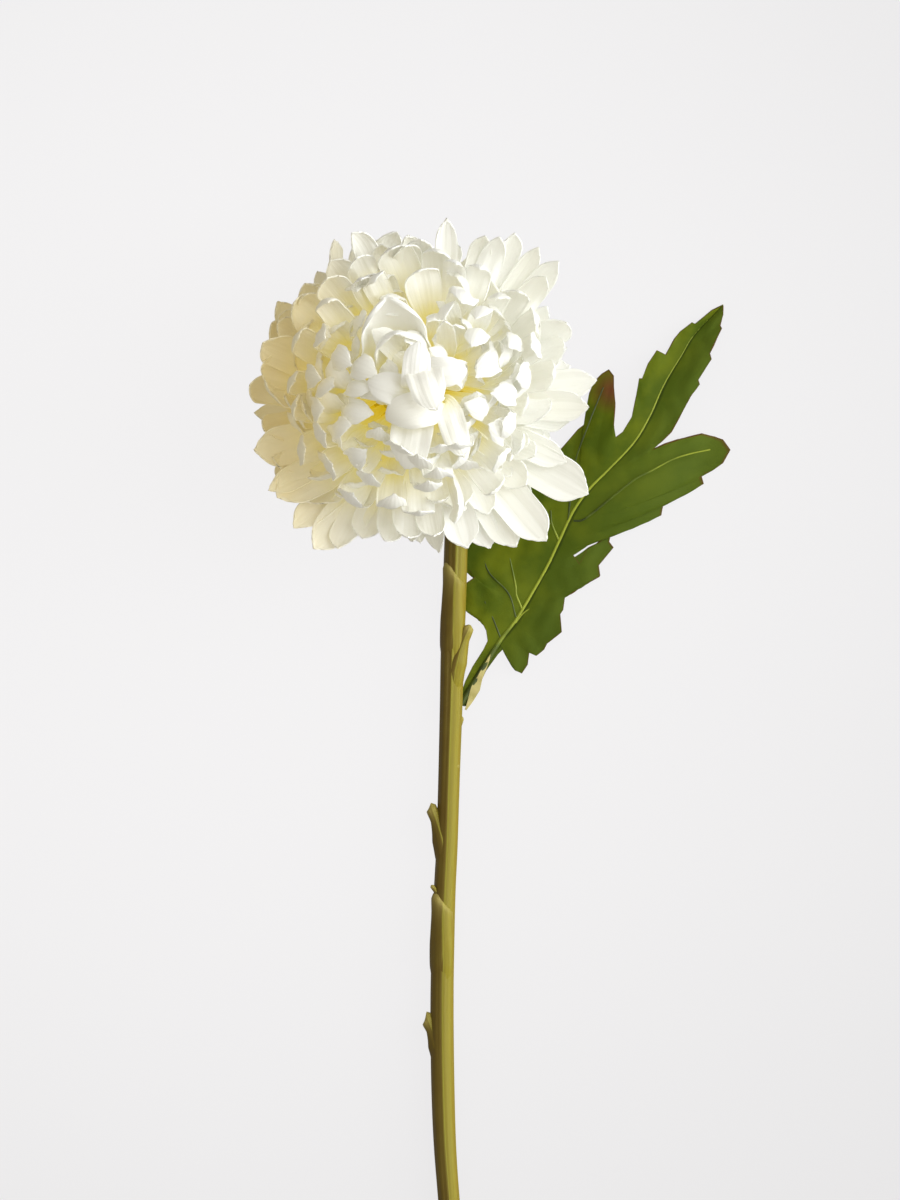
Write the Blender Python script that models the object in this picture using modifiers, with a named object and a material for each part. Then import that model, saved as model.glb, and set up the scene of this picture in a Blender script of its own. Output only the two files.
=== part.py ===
# Pompon chrysanthemum, cut with one leaf and laid on a flat surface.
#
# The flower lies along Y with its bloom at +Y. +Z is up and the surface is z = 0.
# Lengths are in millimetres and are scaled to metres where a mesh is made.

import math

import bmesh
import bpy
import numpy as np

MM = 0.001

# Placing the flower so that the origin is at the middle of its footprint.
SHIFT = np.array([-13.1, 96.7, 0.0])

# Places in the photo are in pixels; these turn them into millimetres.
PX_PER_MM = 3.0
PHOTO_MIDDLE = np.array([450.0, 600.0])

# Bloom: a ball of florets round a core. The flower's axis points up, a little forward and to the left.
BLOOM_CENTRE = np.array([-13.0, 71.0, 49.0])
BLOOM_RADIUS = 54.0
FLOWER_AXIS = np.array([-0.30, 0.40, 0.87])
CORE_DROP = 6.0
CORE_RADIUS = 24.0
CORE_SEGMENTS = 18
CORE_RINGS = 11

# Florets by rule: their bases on a ball in the core, and their tips spread by the golden angle, down
# to the lowest one, each angle from the flower's axis. Every third floret is a shorter one.
FLORETS = 165
LOWEST_FLORET = math.radians(150.0)
LOWEST_BASE = math.radians(122.0)
BASE_RADIUS = 15.5
GOLDEN_ANGLE = math.pi * (3.0 - math.sqrt(5.0))
SEED = 24
TILT_SPREAD = 0.045
TURN_SPREAD = 0.06
LENGTHS = (0.95, 1.035)
SHORT_LENGTHS = (0.86, 0.94)
HALF_WIDTHS = (4.8, 6.6)
ROLL_SPREAD = 0.35
CUPS = (0.85, 1.3)
HOOKS = (0.5, 1.0)
CURLS = (0.7, 1.5)

# From this angle down, florets open out over the next stretch: straight ends that bend back a little.
OPEN_FROM = math.radians(85.0)
OPEN_OVER = math.radians(45.0)
OPEN_HOOK = -0.1
OPEN_CURL_LOSS = 0.8

# A floret is a cupped blade: thick at its middle line and thin at its edges. Its end curls in.
FLORET_THICKNESS = 1.5
FLORET_STATIONS = np.array([0.16, 0.5, 0.76, 0.93])
FLORET_TIP = 1.0
FLORET_FOOT_WIDTH = 0.26
FLORET_ROUND_FROM = 0.76
FLORET_ROUND_OVER = 0.245
CURVE_PULL = 0.36
LEAVE_BACK = 0.25
CURL_START = 0.66
CURL_REACH = 1.04
LEAST_CURL = 0.02
EDGE_PLACES = np.array([-1.0, 0.0, 1.0, 0.0])
EDGE_LIFTS = np.array([0.0, 0.5, 0.0, -0.5])

# The lowest florets end on the surface, where they are worn flat.
TIP_FLOOR = -4.2
PRESS_HEIGHT = 1.0
PRESS_REST = -2.6

# Florets bend clear of the stem and of the cup of bracts.
STEM_CLEARANCE = 1.6
STEM_ROOM = 1.2
CUP_CLEAR_RADIUS = 16.0
CUP_CLEAR_DROP = 14.5
CUP_CLEAR_DEPTH = 12.0

# Florets that the photo shows, placed by hand. Each row: the tip's place in the photo, how far it
# stands from the ball's centre as a share of the ball's radius, the place in the photo that the
# floret comes from, how far forward its base sits (1 in front, 0 at the side), half its width in
# millimetres, its cup, and how far its end curls in, in radians.
PLACED_FLORETS = (
    # The large spoon, the smaller one inside it, and the lobes below them.
    (388, 306, 0.94, 405, 394, 1.0, 12.5, 1.35, 1.0),
    (393, 328, 0.97, 408, 396, 1.0, 8.0, 1.1, 0.9),
    (414, 349, 1.00, 416, 400, 1.0, 5.5, 1.2, 1.5),
    (462, 372, 0.98, 420, 395, 1.0, 6.0, 1.0, 1.3),
    (440, 405, 0.98, 418, 385, 1.0, 6.0, 1.1, 1.3),
    (392, 411, 0.95, 430, 402, 1.0, 5.5, 1.1, 0.9),
    (460, 460, 1.00, 445, 400, 1.0, 5.0, 1.1, 0.5),
    (443, 462, 0.96, 430, 405, 1.0, 4.5, 1.0, 0.7),
    (398, 462, 0.95, 408, 405, 1.0, 5.5, 0.9, 0.6),
    (418, 476, 1.00, 415, 410, 1.0, 5.5, 1.0, 1.0),
    (440, 487, 1.00, 425, 410, 1.0, 5.0, 1.0, 1.0),
    # The front below the middle, whose tips turn up to the viewer.
    (430, 502, 1.02, 420, 420, 1.0, 5.5, 1.0, 1.1),
    (420, 528, 1.00, 415, 425, 0.9, 5.5, 1.0, 1.2),
    (434, 541, 1.00, 418, 430, 0.6, 5.0, 0.9, 0.6),
    (362, 541, 1.00, 405, 430, 0.7, 6.0, 1.0, 0.9),
    (384, 545, 1.00, 408, 430, 0.6, 5.5, 0.9, 0.8),
    (406, 544, 1.00, 412, 430, 0.6, 5.5, 0.9, 0.8),
    (342, 512, 1.00, 392, 430, 0.9, 5.5, 1.1, 1.3),
    (392, 517, 1.00, 402, 430, 0.9, 5.5, 1.1, 1.3),
    (349, 466, 0.96, 395, 425, 1.0, 4.5, 1.3, 1.3),
    (364, 491, 0.93, 397, 425, 1.0, 5.0, 1.0, 1.0),
    # The left side.
    (329, 427, 0.96, 393, 425, 1.0, 5.0, 1.2, 1.1),
    (351, 411, 0.93, 385, 415, 1.0, 5.0, 1.2, 1.4),
    (315, 384, 0.98, 380, 400, 1.0, 5.0, 1.1, 0.9),
    (306, 412, 0.97, 380, 405, 1.0, 4.5, 1.1, 0.9),
    (301, 376, 1.00, 378, 395, 0.9, 4.5, 1.1, 1.0),
    (278, 380, 1.02, 375, 395, 0.7, 4.5, 1.1, 0.8),
    (309, 441, 1.00, 385, 415, 0.9, 5.0, 1.0, 0.8),
    (374, 391, 0.90, 395, 395, 1.0, 4.5, 1.3, 1.5),
    (352, 386, 0.93, 385, 395, 1.0, 4.5, 1.1, 1.1),
    (357, 367, 0.95, 395, 385, 1.0, 5.5, 1.2, 1.3),
    (331, 358, 0.97, 380, 380, 1.0, 5.5, 1.3, 1.1),
    (384, 373, 0.88, 400, 385, 1.0, 4.5, 1.1, 1.0),
    (253, 368, 1.00, 370, 390, 0.3, 5.5, 1.0, 0.8),
    (289, 456, 1.02, 385, 415, 0.6, 5.5, 1.0, 1.0),
    (320, 475, 0.98, 388, 420, 0.8, 5.0, 1.0, 0.8),
    (243, 385, 1.04, 372, 398, 0.3, 6.0, 1.1, 0.9),
    (259, 432, 0.98, 376, 410, 0.4, 6.0, 1.0, 0.9),
    (281, 408, 1.00, 378, 402, 0.8, 5.0, 1.1, 0.8),
    # Long petals at the lower left.
    (256, 451, 1.04, 385, 415, 0.3, 7.5, 0.9, 0.3),
    (268, 492, 1.11, 385, 420, -0.1, 4.5, 0.8, 0.2),
    (278, 498, 1.08, 390, 425, 0.3, 7.5, 0.9, 0.3),
    (294, 529, 1.14, 395, 430, 0.0, 5.0, 0.8, 0.3),
    (314, 549, 1.17, 400, 430, 0.1, 6.5, 0.8, 0.3),
    (338, 549, 1.10, 402, 430, 0.3, 5.5, 0.9, 0.5),
    # The upper left.
    (369, 271, 0.97, 405, 350, 1.0, 4.5, 1.0, 0.7),
    (355, 270, 1.00, 395, 350, 0.9, 4.5, 1.3, 0.6),
    (321, 274, 1.00, 385, 350, 0.7, 6.5, 0.8, 0.5),
    (319, 295, 1.00, 388, 372, 0.9, 5.5, 1.2, 0.8),
    (311, 333, 1.00, 380, 372, 0.9, 4.5, 1.1, 0.6),
    (286, 334, 1.00, 375, 380, 0.7, 5.5, 1.1, 0.7),
    (260, 343, 1.00, 373, 385, 0.3, 6.5, 0.8, 0.4),
    (272, 321, 0.97, 375, 375, 0.2, 4.5, 0.9, 0.6),
    (287, 301, 1.00, 378, 370, 0.5, 6.0, 0.9, 0.6),
    (299, 290, 0.98, 380, 365, 0.2, 4.5, 0.9, 0.5),
    (328, 259, 0.98, 395, 350, 0.3, 5.5, 0.9, 0.4),
    (352, 250, 1.00, 400, 345, 0.3, 5.0, 0.9, 0.6),
    # The top.
    (387, 238, 1.00, 424, 348, 0.6, 7.0, 0.9, 0.9),
    (402, 237, 0.98, 424, 345, 0.4, 5.0, 0.9, 0.8),
    (417, 262, 0.94, 431, 348, 1.0, 6.5, 0.8, 0.6),
    (420, 232, 1.00, 426, 345, 0.4, 5.5, 0.9, 0.7),
    (437, 239, 1.00, 438, 345, 0.7, 6.5, 1.2, 1.0),
    (448, 219, 1.07, 440, 345, 0.1, 3.8, 0.6, 0.1),
    (470, 288, 0.98, 438, 350, 1.0, 5.5, 1.2, 0.9),
    (458, 250, 1.00, 446, 345, 0.8, 4.8, 1.3, 1.0),
    (484, 258, 1.00, 455, 348, 0.8, 5.0, 1.2, 0.9),
    (486, 235, 1.05, 456, 345, 0.4, 4.5, 1.1, 0.6),
    (501, 235, 1.10, 460, 345, 0.2, 4.0, 1.0, 0.5),
    (515, 233, 1.15, 465, 350, 0.2, 4.8, 1.0, 0.5),
    (539, 248, 1.17, 470, 355, 0.1, 3.8, 0.9, 0.4),
    # The right side.
    (446, 319, 0.88, 440, 380, 1.0, 4.0, 1.4, 0.3),
    (456, 320, 0.86, 450, 372, 1.0, 3.2, 1.3, 0.3),
    (441, 304, 0.91, 452, 365, 1.0, 4.5, 0.9, 0.8),
    (479, 329, 0.93, 465, 378, 1.0, 4.8, 1.2, 1.0),
    (493, 363, 0.95, 465, 390, 1.0, 4.5, 1.3, 1.3),
    (484, 303, 0.95, 462, 360, 1.0, 4.5, 1.2, 1.0),
    (506, 286, 1.00, 465, 355, 0.9, 4.5, 1.2, 1.0),
    (527, 283, 1.06, 470, 360, 0.6, 4.8, 1.1, 0.8),
    (548, 275, 1.10, 472, 362, 0.3, 4.5, 1.0, 0.6),
    (559, 262, 1.20, 472, 362, 0.1, 4.5, 0.9, 0.4),
    (525, 334, 1.00, 475, 388, 0.9, 5.0, 1.3, 1.2),
    (547, 313, 1.06, 475, 370, 0.6, 5.0, 1.1, 0.9),
    (548, 341, 1.04, 475, 380, 0.7, 4.8, 1.1, 1.0),
    (572, 320, 1.10, 475, 375, 0.2, 5.5, 0.9, 0.6),
    (572, 347, 1.05, 475, 382, 0.3, 5.0, 0.9, 0.7),
    (537, 376, 0.99, 475, 390, 0.8, 5.0, 1.2, 1.1),
    (565, 373, 1.02, 475, 390, 0.4, 5.0, 1.0, 0.8),
    (516, 394, 0.97, 470, 396, 0.9, 5.2, 1.3, 1.5),
    (520, 433, 0.99, 472, 402, 0.9, 5.5, 1.2, 0.9),
    (485, 413, 0.92, 450, 400, 1.0, 4.5, 1.2, 1.3),
    (508, 436, 0.96, 455, 410, 1.0, 5.0, 1.1, 1.1),
    (511, 470, 0.98, 455, 420, 0.9, 5.0, 1.0, 0.9),
    # Long smooth petals at the right and the lower right, in front of the stem.
    (589, 408, 1.12, 460, 400, -0.2, 5.2, 0.45, 0.0),
    (597, 381, 1.15, 460, 395, -0.4, 5.2, 0.45, 0.0),
    (566, 463, 1.08, 460, 415, 0.3, 5.0, 0.6, 0.1),
    (588, 495, 1.30, 455, 418, 0.1, 7.5, 0.5, 0.0),
    (546, 541, 1.28, 448, 426, 0.2, 6.8, 0.5, 0.0),
    (516, 547, 1.19, 442, 430, 0.3, 6.2, 0.5, 0.1),
    (490, 548, 1.11, 436, 432, 0.4, 5.8, 0.5, 0.1),
    (467, 548, 1.06, 432, 432, 0.5, 6.2, 0.5, 0.1),
)
PLACED_SPACING = 14.5
BASE_SPREAD = 14.0
PLACED_HOOK = 0.45

# The hollows of the placed florets face the heart that the photo shows, straight above the ball.
HEART_WAY = np.array([0.02, -0.02, 1.0])

# Florets that fold over the heart and show their backs. Each row: the tip's place in the photo and
# its height, the place in the photo that the floret comes from, the way its end points, the way its
# hollow faces, half its width, its cup and its curl.
FOLDED_FLORETS = (
    (418, 348, 99.0, 414, 393, (0.05, 1.0, -0.1), (0.0, -0.1, -1.0), 4.8, 0.8, 1.5),
    (463, 377, 98.0, 420, 379, (1.0, -0.05, -0.1), (-0.1, 0.0, -1.0), 5.2, 0.8, 1.5),
    (431, 409, 101.0, 422, 377, (0.2, -1.0, -0.1), (0.0, 0.1, -1.0), 6.0, 0.8, 1.6),
    (389, 420, 96.0, 446, 405, (-1.0, -0.25, -0.1), (0.1, 0.0, -1.0), 6.4, 0.8, 1.3),
    (461, 458, 91.0, 444, 401, (0.25, -1.0, -0.1), (0.0, 0.2, -1.0), 4.4, 0.8, 1.0),
    (372, 388, 94.0, 410, 399, (-1.0, 0.2, -0.1), (0.1, 0.0, -1.0), 5.0, 0.8, 1.3),
    (408, 470, 89.0, 418, 405, (-0.1, -1.0, -0.2), (0.0, 0.2, -1.0), 6.6, 0.7, 0.8),
)
FOLDED_RISE = np.array([0.0, 0.0, 0.75])
FOLDED_PULL = 0.45

# Stem: middle line by hand, on a slope from the cut end up to the bloom, then a bend up into the cup.
STEM_END_Y = -320.0
STEM_SLOPE = 0.018
STEM_RADIUS = 3.75
STEM_SEAT = 0.25
STEM_SWELL = 0.05
STEM_RIDGES = 0.05
STEM_SIDES = 12
BEND_PULL = 14.0
BEND_END_PULL = 11.0
BEND_POINTS = 8
STEM_LINE = (
    (6.0, -320.0), (5.6, -300.0), (4.3, -267.0), (2.0, -233.0), (-0.7, -200.0), (-1.9, -183.0),
    (-2.5, -167.0), (-2.8, -150.0), (-2.8, -133.0), (-2.5, -117.0), (-2.0, -100.0), (-1.2, -83.0),
    (-0.7, -67.0), (-0.2, -50.0), (0.3, -33.0), (0.7, -17.0), (1.3, 0.0), (1.9, 20.0),
)

# Cut stubs and sheaths along the stem, from the bloom down. For each: y where it leaves the stem,
# y of its tip, how far the tip stands out to the side and up, and its radius at both ends.
STUBS = (
    (-24.0, 10.5, -0.3, 1.8, 4.1, 3.8),
    (-26.0, -9.5, 5.7, 1.0, 2.4, 1.5),
    (-54.0, -38.5, 3.2, -1.8, 2.2, 1.9),
    (-62.0, -55.0, 3.0, 1.2, 1.6, 1.3),
    (-84.0, -69.5, -4.9, 0.6, 2.4, 1.6),
    (-131.0, -100.5, -0.6, 1.6, 4.1, 3.8),
    (-106.0, -96.0, -4.3, 1.4, 1.0, 0.7),
    (-129.0, -119.0, 3.4, 0.8, 1.1, 0.7),
    (-155.0, -140.5, -4.8, 0.8, 2.6, 1.5),
    (-176.0, -166.5, 3.2, 0.6, 1.2, 0.8),
)
STUB_STATIONS = 5
STUB_SIDES = 8

# Gap between pieces that touch.
SEAT_GAP = 0.35

# Cup of bracts under the core.
CUP_ANGLE_DEG = 28.0
CUP_WALL = 1.6
CUP_SEGMENTS = 26
NECK_RADIUS = 4.3
NECK_LENGTH = 4.0
BRACTS = 13
BRACT_HALF_WIDTH = 2.9
BRACT_THICKNESS = 0.9

# Leaf: its foot on the stem, the middle line and the two margins, from the foot.
LEAF_FOOT = np.array([3.7, -35.3, 4.1])
LEAF_LENGTH = 162.5
LEAF_THICKNESS = 0.8
LEAF_REST = 0.75
LEAF_ARCH = 6.0
LEAF_ARCH_PLACES = (0.28, 0.62, 1.0)
RIB_RADIUS = 1.5
RIB_TIP_RADIUS = 0.6
RIB_SIDES = 6
MARGIN_BEND = 0.16
HALF_OVERLAP = 0.3
LEAF_RIB = (
    (0.0, 0.0), (6.5, 11.0), (13.5, 22.0), (18.5, 28.5), (24.5, 38.5), (29.5, 47.5), (33.0, 55.0),
    (38.0, 65.5), (43.5, 73.0), (49.5, 79.0), (58.0, 88.0), (63.5, 97.0), (68.5, 108.0),
    (74.5, 118.0), (78.5, 124.5), (88.5, 135.0),
)

# Margins as foot on the rib, measured along it, then x and y. Each lobe and tooth has its own points.
RIGHT_MARGIN = (
    (0, 1.5, -0.5), (8.5, 5, 4), (16.5, 8.5, 11.5), (22.5, 12.5, 17), (24.5, 14.5, 19),
    (25.5, 16.5, 15), (26.5, 18.5, 11.5), (27.5, 20.5, 10.5), (28.5, 22.5, 13.5), (29.5, 23, 17.5),
    (31, 25.5, 16.5), (32.5, 28, 18.5), (33.5, 29, 20.5), (34.5, 34, 24.5), (36, 33.5, 30.5),
    (37.5, 34.5, 32), (38.5, 35, 36), (42, 40.5, 39.5), (43.5, 47, 43.5), (45, 46.5, 47),
    (47, 51.5, 53), (48.5, 50, 55), (50.5, 50.5, 57.5), (52.5, 45.5, 54), (54.5, 39.5, 49.5),
    (56, 44, 54.5), (58, 50.5, 59.5), (60.5, 59.5, 62), (63, 67.5, 64), (65, 68.5, 68.5),
    (67.5, 77.5, 72), (70, 82, 74.5), (72, 81, 78), (74, 85, 79), (76, 88.5, 81.5), (78.5, 91, 86),
    (81, 88.5, 89.5), (83.5, 85.5, 90.5), (86, 81.5, 91.5), (89.5, 73.5, 89.5), (92.5, 69, 88),
    (96, 64.5, 86), (100, 67.5, 88.5), (104, 71, 92), (108.5, 73.5, 96.5), (114.5, 77.5, 104),
    (119, 80.5, 108), (121.5, 80, 109.5), (127.5, 84.5, 116.5), (130.5, 84, 118.5),
    (138.5, 88, 127), (141.5, 87.5, 128), (150, 88.5, 131.5), (162.5, 88.5, 135.0),
)
LEFT_MARGIN = (
    (0, -1, 1), (8.5, 1.5, 8), (15, 4, 13), (20, 7.5, 18.5), (22.5, 9, 21.5), (24.5, 8.5, 25),
    (26.5, 7, 28), (29, 3, 31.5), (31, -0.5, 33.5), (32.5, 0.5, 36.5), (34.5, -2, 39.5),
    (36, 1, 40.5), (37.5, 4.5, 43), (39.5, 2.5, 45.5), (41.5, -2, 48.5), (44, -1, 52.5),
    (46.5, 3, 55), (49, 3.5, 60.5), (51.5, 7.5, 61.5), (54.5, 12.5, 59.5), (57.5, 17, 61.5),
    (60.5, 17, 69.5), (64, 20.5, 76), (67.5, 24.5, 81.5), (69.5, 28.5, 80), (72, 35, 82.5),
    (74.5, 33.5, 86), (76.5, 39.5, 93), (78, 43, 95.5), (79.5, 43.5, 101.5), (81.5, 43.5, 105),
    (83.5, 45, 109), (85.5, 47.5, 111.5), (87.5, 50, 113), (89, 51.5, 111), (90.5, 51.5, 107.5),
    (93, 52, 102), (96.5, 51.5, 94.5), (100, 52, 90), (106, 54.5, 92), (110, 57.5, 97),
    (114.5, 59, 104), (118.5, 60, 110), (120.5, 61, 110), (124.5, 63, 115), (128, 66, 119.5),
    (132, 69, 118), (137.5, 72, 123.5), (140.5, 74, 126), (144.5, 78, 129), (147, 79, 128.5),
    (154.5, 84.5, 133), (162.5, 88.5, 135.0),
)

# Half the size of the block that stands for everything under the surface.
TABLE_HALF = 500.0


def unit(v):
    """v, or each row of v, made one long."""
    return v / np.maximum(np.linalg.norm(v, axis=-1, keepdims=True), 1e-9)


def smooth(x, low, high):
    """A smooth step: 0 below low, 1 above high."""
    t = np.clip((x - low) / (high - low), 0.0, 1.0)
    return t * t * (3.0 - 2.0 * t)


AXIS = unit(FLOWER_AXIS)
ACROSS = unit(np.cross(AXIS, [0.0, 0.0, 1.0]))
UPWARD = np.cross(ACROSS, AXIS)
CORE_CENTRE = BLOOM_CENTRE - CORE_DROP * AXIS


# Scene, materials and meshes


def clear_scene():
    for obj in list(bpy.data.objects):
        bpy.data.objects.remove(obj, do_unlink=True)


def new_collection(name, hidden=False):
    collection = bpy.data.collections.new(name)
    collection.hide_render = hidden
    bpy.context.scene.collection.children.link(collection)
    return collection


def material(name, colour, roughness):
    made = bpy.data.materials.new(name)
    made.use_nodes = True
    shader = made.node_tree.nodes["Principled BSDF"]
    shader.inputs["Base Color"].default_value = (*colour, 1.0)
    shader.inputs["Roughness"].default_value = roughness
    shader.inputs["Metallic"].default_value = 0.0
    return made


def mesh_object(name, points, faces, collection):
    """A mesh object from points in millimetres and faces."""
    mesh = bpy.data.meshes.new(name)
    placed = (np.asarray(points) + SHIFT) * MM
    mesh.from_pydata(placed.tolist(), [], [list(face) for face in faces])
    mesh.validate()
    obj = bpy.data.objects.new(name, mesh)
    collection.objects.link(obj)
    return obj


def loft(name, rings, collection, tip=None):
    """A closed skin over rings of points, capped at its start and closed at its end by a cap or a tip."""
    stations, sides, _ = rings.shape
    points = rings.reshape(-1, 3)
    faces = [tuple(reversed(range(sides)))]
    for row in range(stations - 1):
        for side in range(sides):
            after = (side + 1) % sides
            low = row * sides
            high = low + sides
            faces.append((low + side, low + after, high + after))
            faces.append((low + side, high + after, high + side))
    last = (stations - 1) * sides
    if tip is None:
        faces.append(tuple(range(last, last + sides)))
    else:
        points = np.vstack([points, tip])
        end = len(points) - 1
        for side in range(sides):
            faces.append((last + side, last + (side + 1) % sides, end))
    obj = mesh_object(name, points, faces, collection)
    face_outwards(obj)
    return obj


def face_outwards(obj):
    mesh = bmesh.new()
    mesh.from_mesh(obj.data)
    bmesh.ops.recalc_face_normals(mesh, faces=mesh.faces)
    mesh.to_mesh(obj.data)
    mesh.free()


def ball(name, centre, radius, collection):
    """A sphere with its poles on the flower's axis."""
    mesh = bpy.data.meshes.new(name)
    shape = bmesh.new()
    bmesh.ops.create_uvsphere(shape, u_segments=CORE_SEGMENTS, v_segments=CORE_RINGS, radius=radius * MM)
    shape.to_mesh(mesh)
    shape.free()
    obj = bpy.data.objects.new(name, mesh)
    collection.objects.link(obj)
    axis_frame(mesh, centre)
    return obj


def axis_frame(mesh, centre):
    """Turns a mesh made round Z, so that it lies round the flower's axis at centre."""
    count = len(mesh.vertices)
    flat = np.empty(count * 3)
    mesh.vertices.foreach_get("co", flat)
    local = flat.reshape(-1, 3)
    frame = np.array([ACROSS, -UPWARD, AXIS])
    turned = local @ frame + (centre + SHIFT) * MM
    mesh.vertices.foreach_set("co", turned.ravel())
    mesh.update()


def join(base, others, operation="UNION"):
    """One Boolean of base with every object of a collection, applied, and the collection's objects removed."""
    change = base.modifiers.new("join", "BOOLEAN")
    change.operation = operation
    change.operand_type = "COLLECTION"
    change.collection = others
    change.solver = "MANIFOLD"
    graph = bpy.context.evaluated_depsgraph_get()
    made = bpy.data.meshes.new_from_object(base.evaluated_get(graph))
    base.modifiers.clear()
    base.data = made
    for obj in list(others.objects):
        bpy.data.objects.remove(obj, do_unlink=True)


def keep_largest(obj):
    """Drops the loose scraps that a cut leaves."""
    mesh = bmesh.new()
    mesh.from_mesh(obj.data)
    bmesh.ops.remove_doubles(mesh, verts=mesh.verts, dist=0.002 * MM)
    seen = set()
    largest = set()
    for start in mesh.verts:
        if start in seen:
            continue
        island = {start}
        waiting = [start]
        while waiting:
            for edge in waiting.pop().link_edges:
                for vert in edge.verts:
                    if vert not in island:
                        island.add(vert)
                        waiting.append(vert)
        seen |= island
        if len(island) > len(largest):
            largest = island
    bmesh.ops.delete(mesh, geom=[v for v in mesh.verts if v not in largest], context="VERTS")
    bmesh.ops.triangulate(mesh, faces=mesh.faces)
    mesh.to_mesh(obj.data)
    mesh.free()


# Stem line


def smooth_line(points, step):
    """Points at about one step apart on a smooth curve through the given points."""
    points = np.asarray(points, float)
    padded = np.vstack([2 * points[0] - points[1], points, 2 * points[-1] - points[-2]])
    made = []
    for k in range(len(points) - 1):
        a, b, c, d = padded[k : k + 4]
        count = max(1, round(float(np.linalg.norm(c - b)) / step))
        t = (np.arange(count) / count)[:, None]
        made.append(
            0.5 * (2 * b + (c - a) * t + (2 * a - 5 * b + 4 * c - d) * t**2 + (3 * b - a - 3 * c + d) * t**3)
        )
    made.append(points[-1:])
    return np.vstack(made)


def cubic(controls, t):
    """Points at t on the cubic curve of four control points, and the directions there."""
    a, b, c, d = controls
    t = t[:, None]
    point = (1 - t) ** 3 * a + 3 * (1 - t) ** 2 * t * b + 3 * (1 - t) * t**2 * c + t**3 * d
    along = (1 - t) ** 2 * (b - a) + 2 * (1 - t) * t * (c - b) + t**2 * (d - c)
    return point, unit(along)


def stem_end():
    """The top of the stem, just under the cup's neck."""
    return CORE_CENTRE - (CORE_RADIUS + 2 * SEAT_GAP + CUP_WALL + NECK_LENGTH) * AXIS


def stem_line(step):
    """Points on the stem's line: the hand-placed part, then the bend that ends along the flower's axis."""
    by_hand = [(x, y, STEM_RADIUS - STEM_SEAT + (y - STEM_END_Y) * STEM_SLOPE) for x, y in STEM_LINE]
    start = np.array(by_hand[-1])
    controls = [start, start + [0.0, BEND_PULL, 0.1], stem_end() - BEND_END_PULL * AXIS, stem_end()]
    bend, _ = cubic(controls, np.linspace(0.0, 1.0, BEND_POINTS + 1)[1:])
    return smooth_line(np.vstack([by_hand, bend]), step)


# Florets


def sphere_direction(polar, turn):
    """Directions from the flower's axis, by the angle from the axis and the turn round it."""
    polar = np.asarray(polar)[..., None]
    turn = np.asarray(turn)[..., None]
    return np.cos(polar) * AXIS + np.sin(polar) * (np.cos(turn) * ACROSS + np.sin(turn) * UPWARD)


def floret_curves(base, tip, apex, hook, roll, half_width, cup, curl):
    """Florets from their bases and tips: control points, the way the hollow faces, half width, cup and curl.

    The middle line of each is a cubic curve. It leaves the core bent away from the apex and reaches
    its tip bent towards it, by the share hook. The hollow faces the apex, turned by roll.
    """
    pull = CURVE_PULL * np.linalg.norm(tip - base, axis=1, keepdims=True)
    out = unit(tip - base)
    to_apex = unit(apex - (out @ apex)[:, None] * out + 1e-6)
    leave = unit(out + unit(base - CORE_CENTRE) - LEAVE_BACK * to_apex)
    arrive = unit(out + hook[:, None] * to_apex)
    controls = np.stack([base, base + pull * leave, tip - pull * arrive, tip], axis=1)
    side = np.cross(out, to_apex)
    face = to_apex * np.cos(roll)[:, None] + side * np.sin(roll)[:, None]
    return controls, face, half_width, cup, curl


def ball_florets():
    """Florets whose tips are spread over the ball by the golden angle."""
    rng = np.random.default_rng(SEED)
    k = np.arange(FLORETS)
    polar = np.arccos(1.0 - (1.0 - math.cos(LOWEST_FLORET)) * (k + 0.5) / FLORETS)
    polar = np.clip(polar + rng.normal(0.0, TILT_SPREAD, FLORETS), 0.0, LOWEST_FLORET)
    turn = GOLDEN_ANGLE * k + rng.normal(0.0, TURN_SPREAD, FLORETS) / np.maximum(np.sin(polar), 0.3)
    reach = BLOOM_RADIUS * rng.uniform(*LENGTHS, FLORETS)
    reach = np.where(k % 3 == 1, reach * rng.uniform(*SHORT_LENGTHS, FLORETS), reach)
    half_width = rng.uniform(*HALF_WIDTHS, FLORETS)
    roll = rng.normal(0.0, ROLL_SPREAD, FLORETS)
    cup = rng.uniform(*CUPS, FLORETS)
    low = np.clip((polar - OPEN_FROM) / OPEN_OVER, 0.0, 1.0)
    hook = rng.uniform(*HOOKS, FLORETS) * (1.0 - low) + OPEN_HOOK * low
    curl = rng.uniform(*CURLS, FLORETS) * (1.0 - OPEN_CURL_LOSS * low)
    way = sphere_direction(polar, turn)
    room = (BLOOM_CENTRE[2] - TIP_FLOOR) / np.maximum(-way[:, 2], 1e-6)
    tip = BLOOM_CENTRE + np.minimum(reach, room)[:, None] * way
    base = CORE_CENTRE + BASE_RADIUS * sphere_direction(polar * (LOWEST_BASE / LOWEST_FLORET), turn)
    return floret_curves(base, tip, AXIS, hook, roll, half_width, cup, curl)


def from_photo(pixels):
    """Places in the photo turned into millimetres from its middle, with y upwards."""
    return (np.asarray(pixels, float) - PHOTO_MIDDLE) * [1.0, -1.0] / PX_PER_MM


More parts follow.
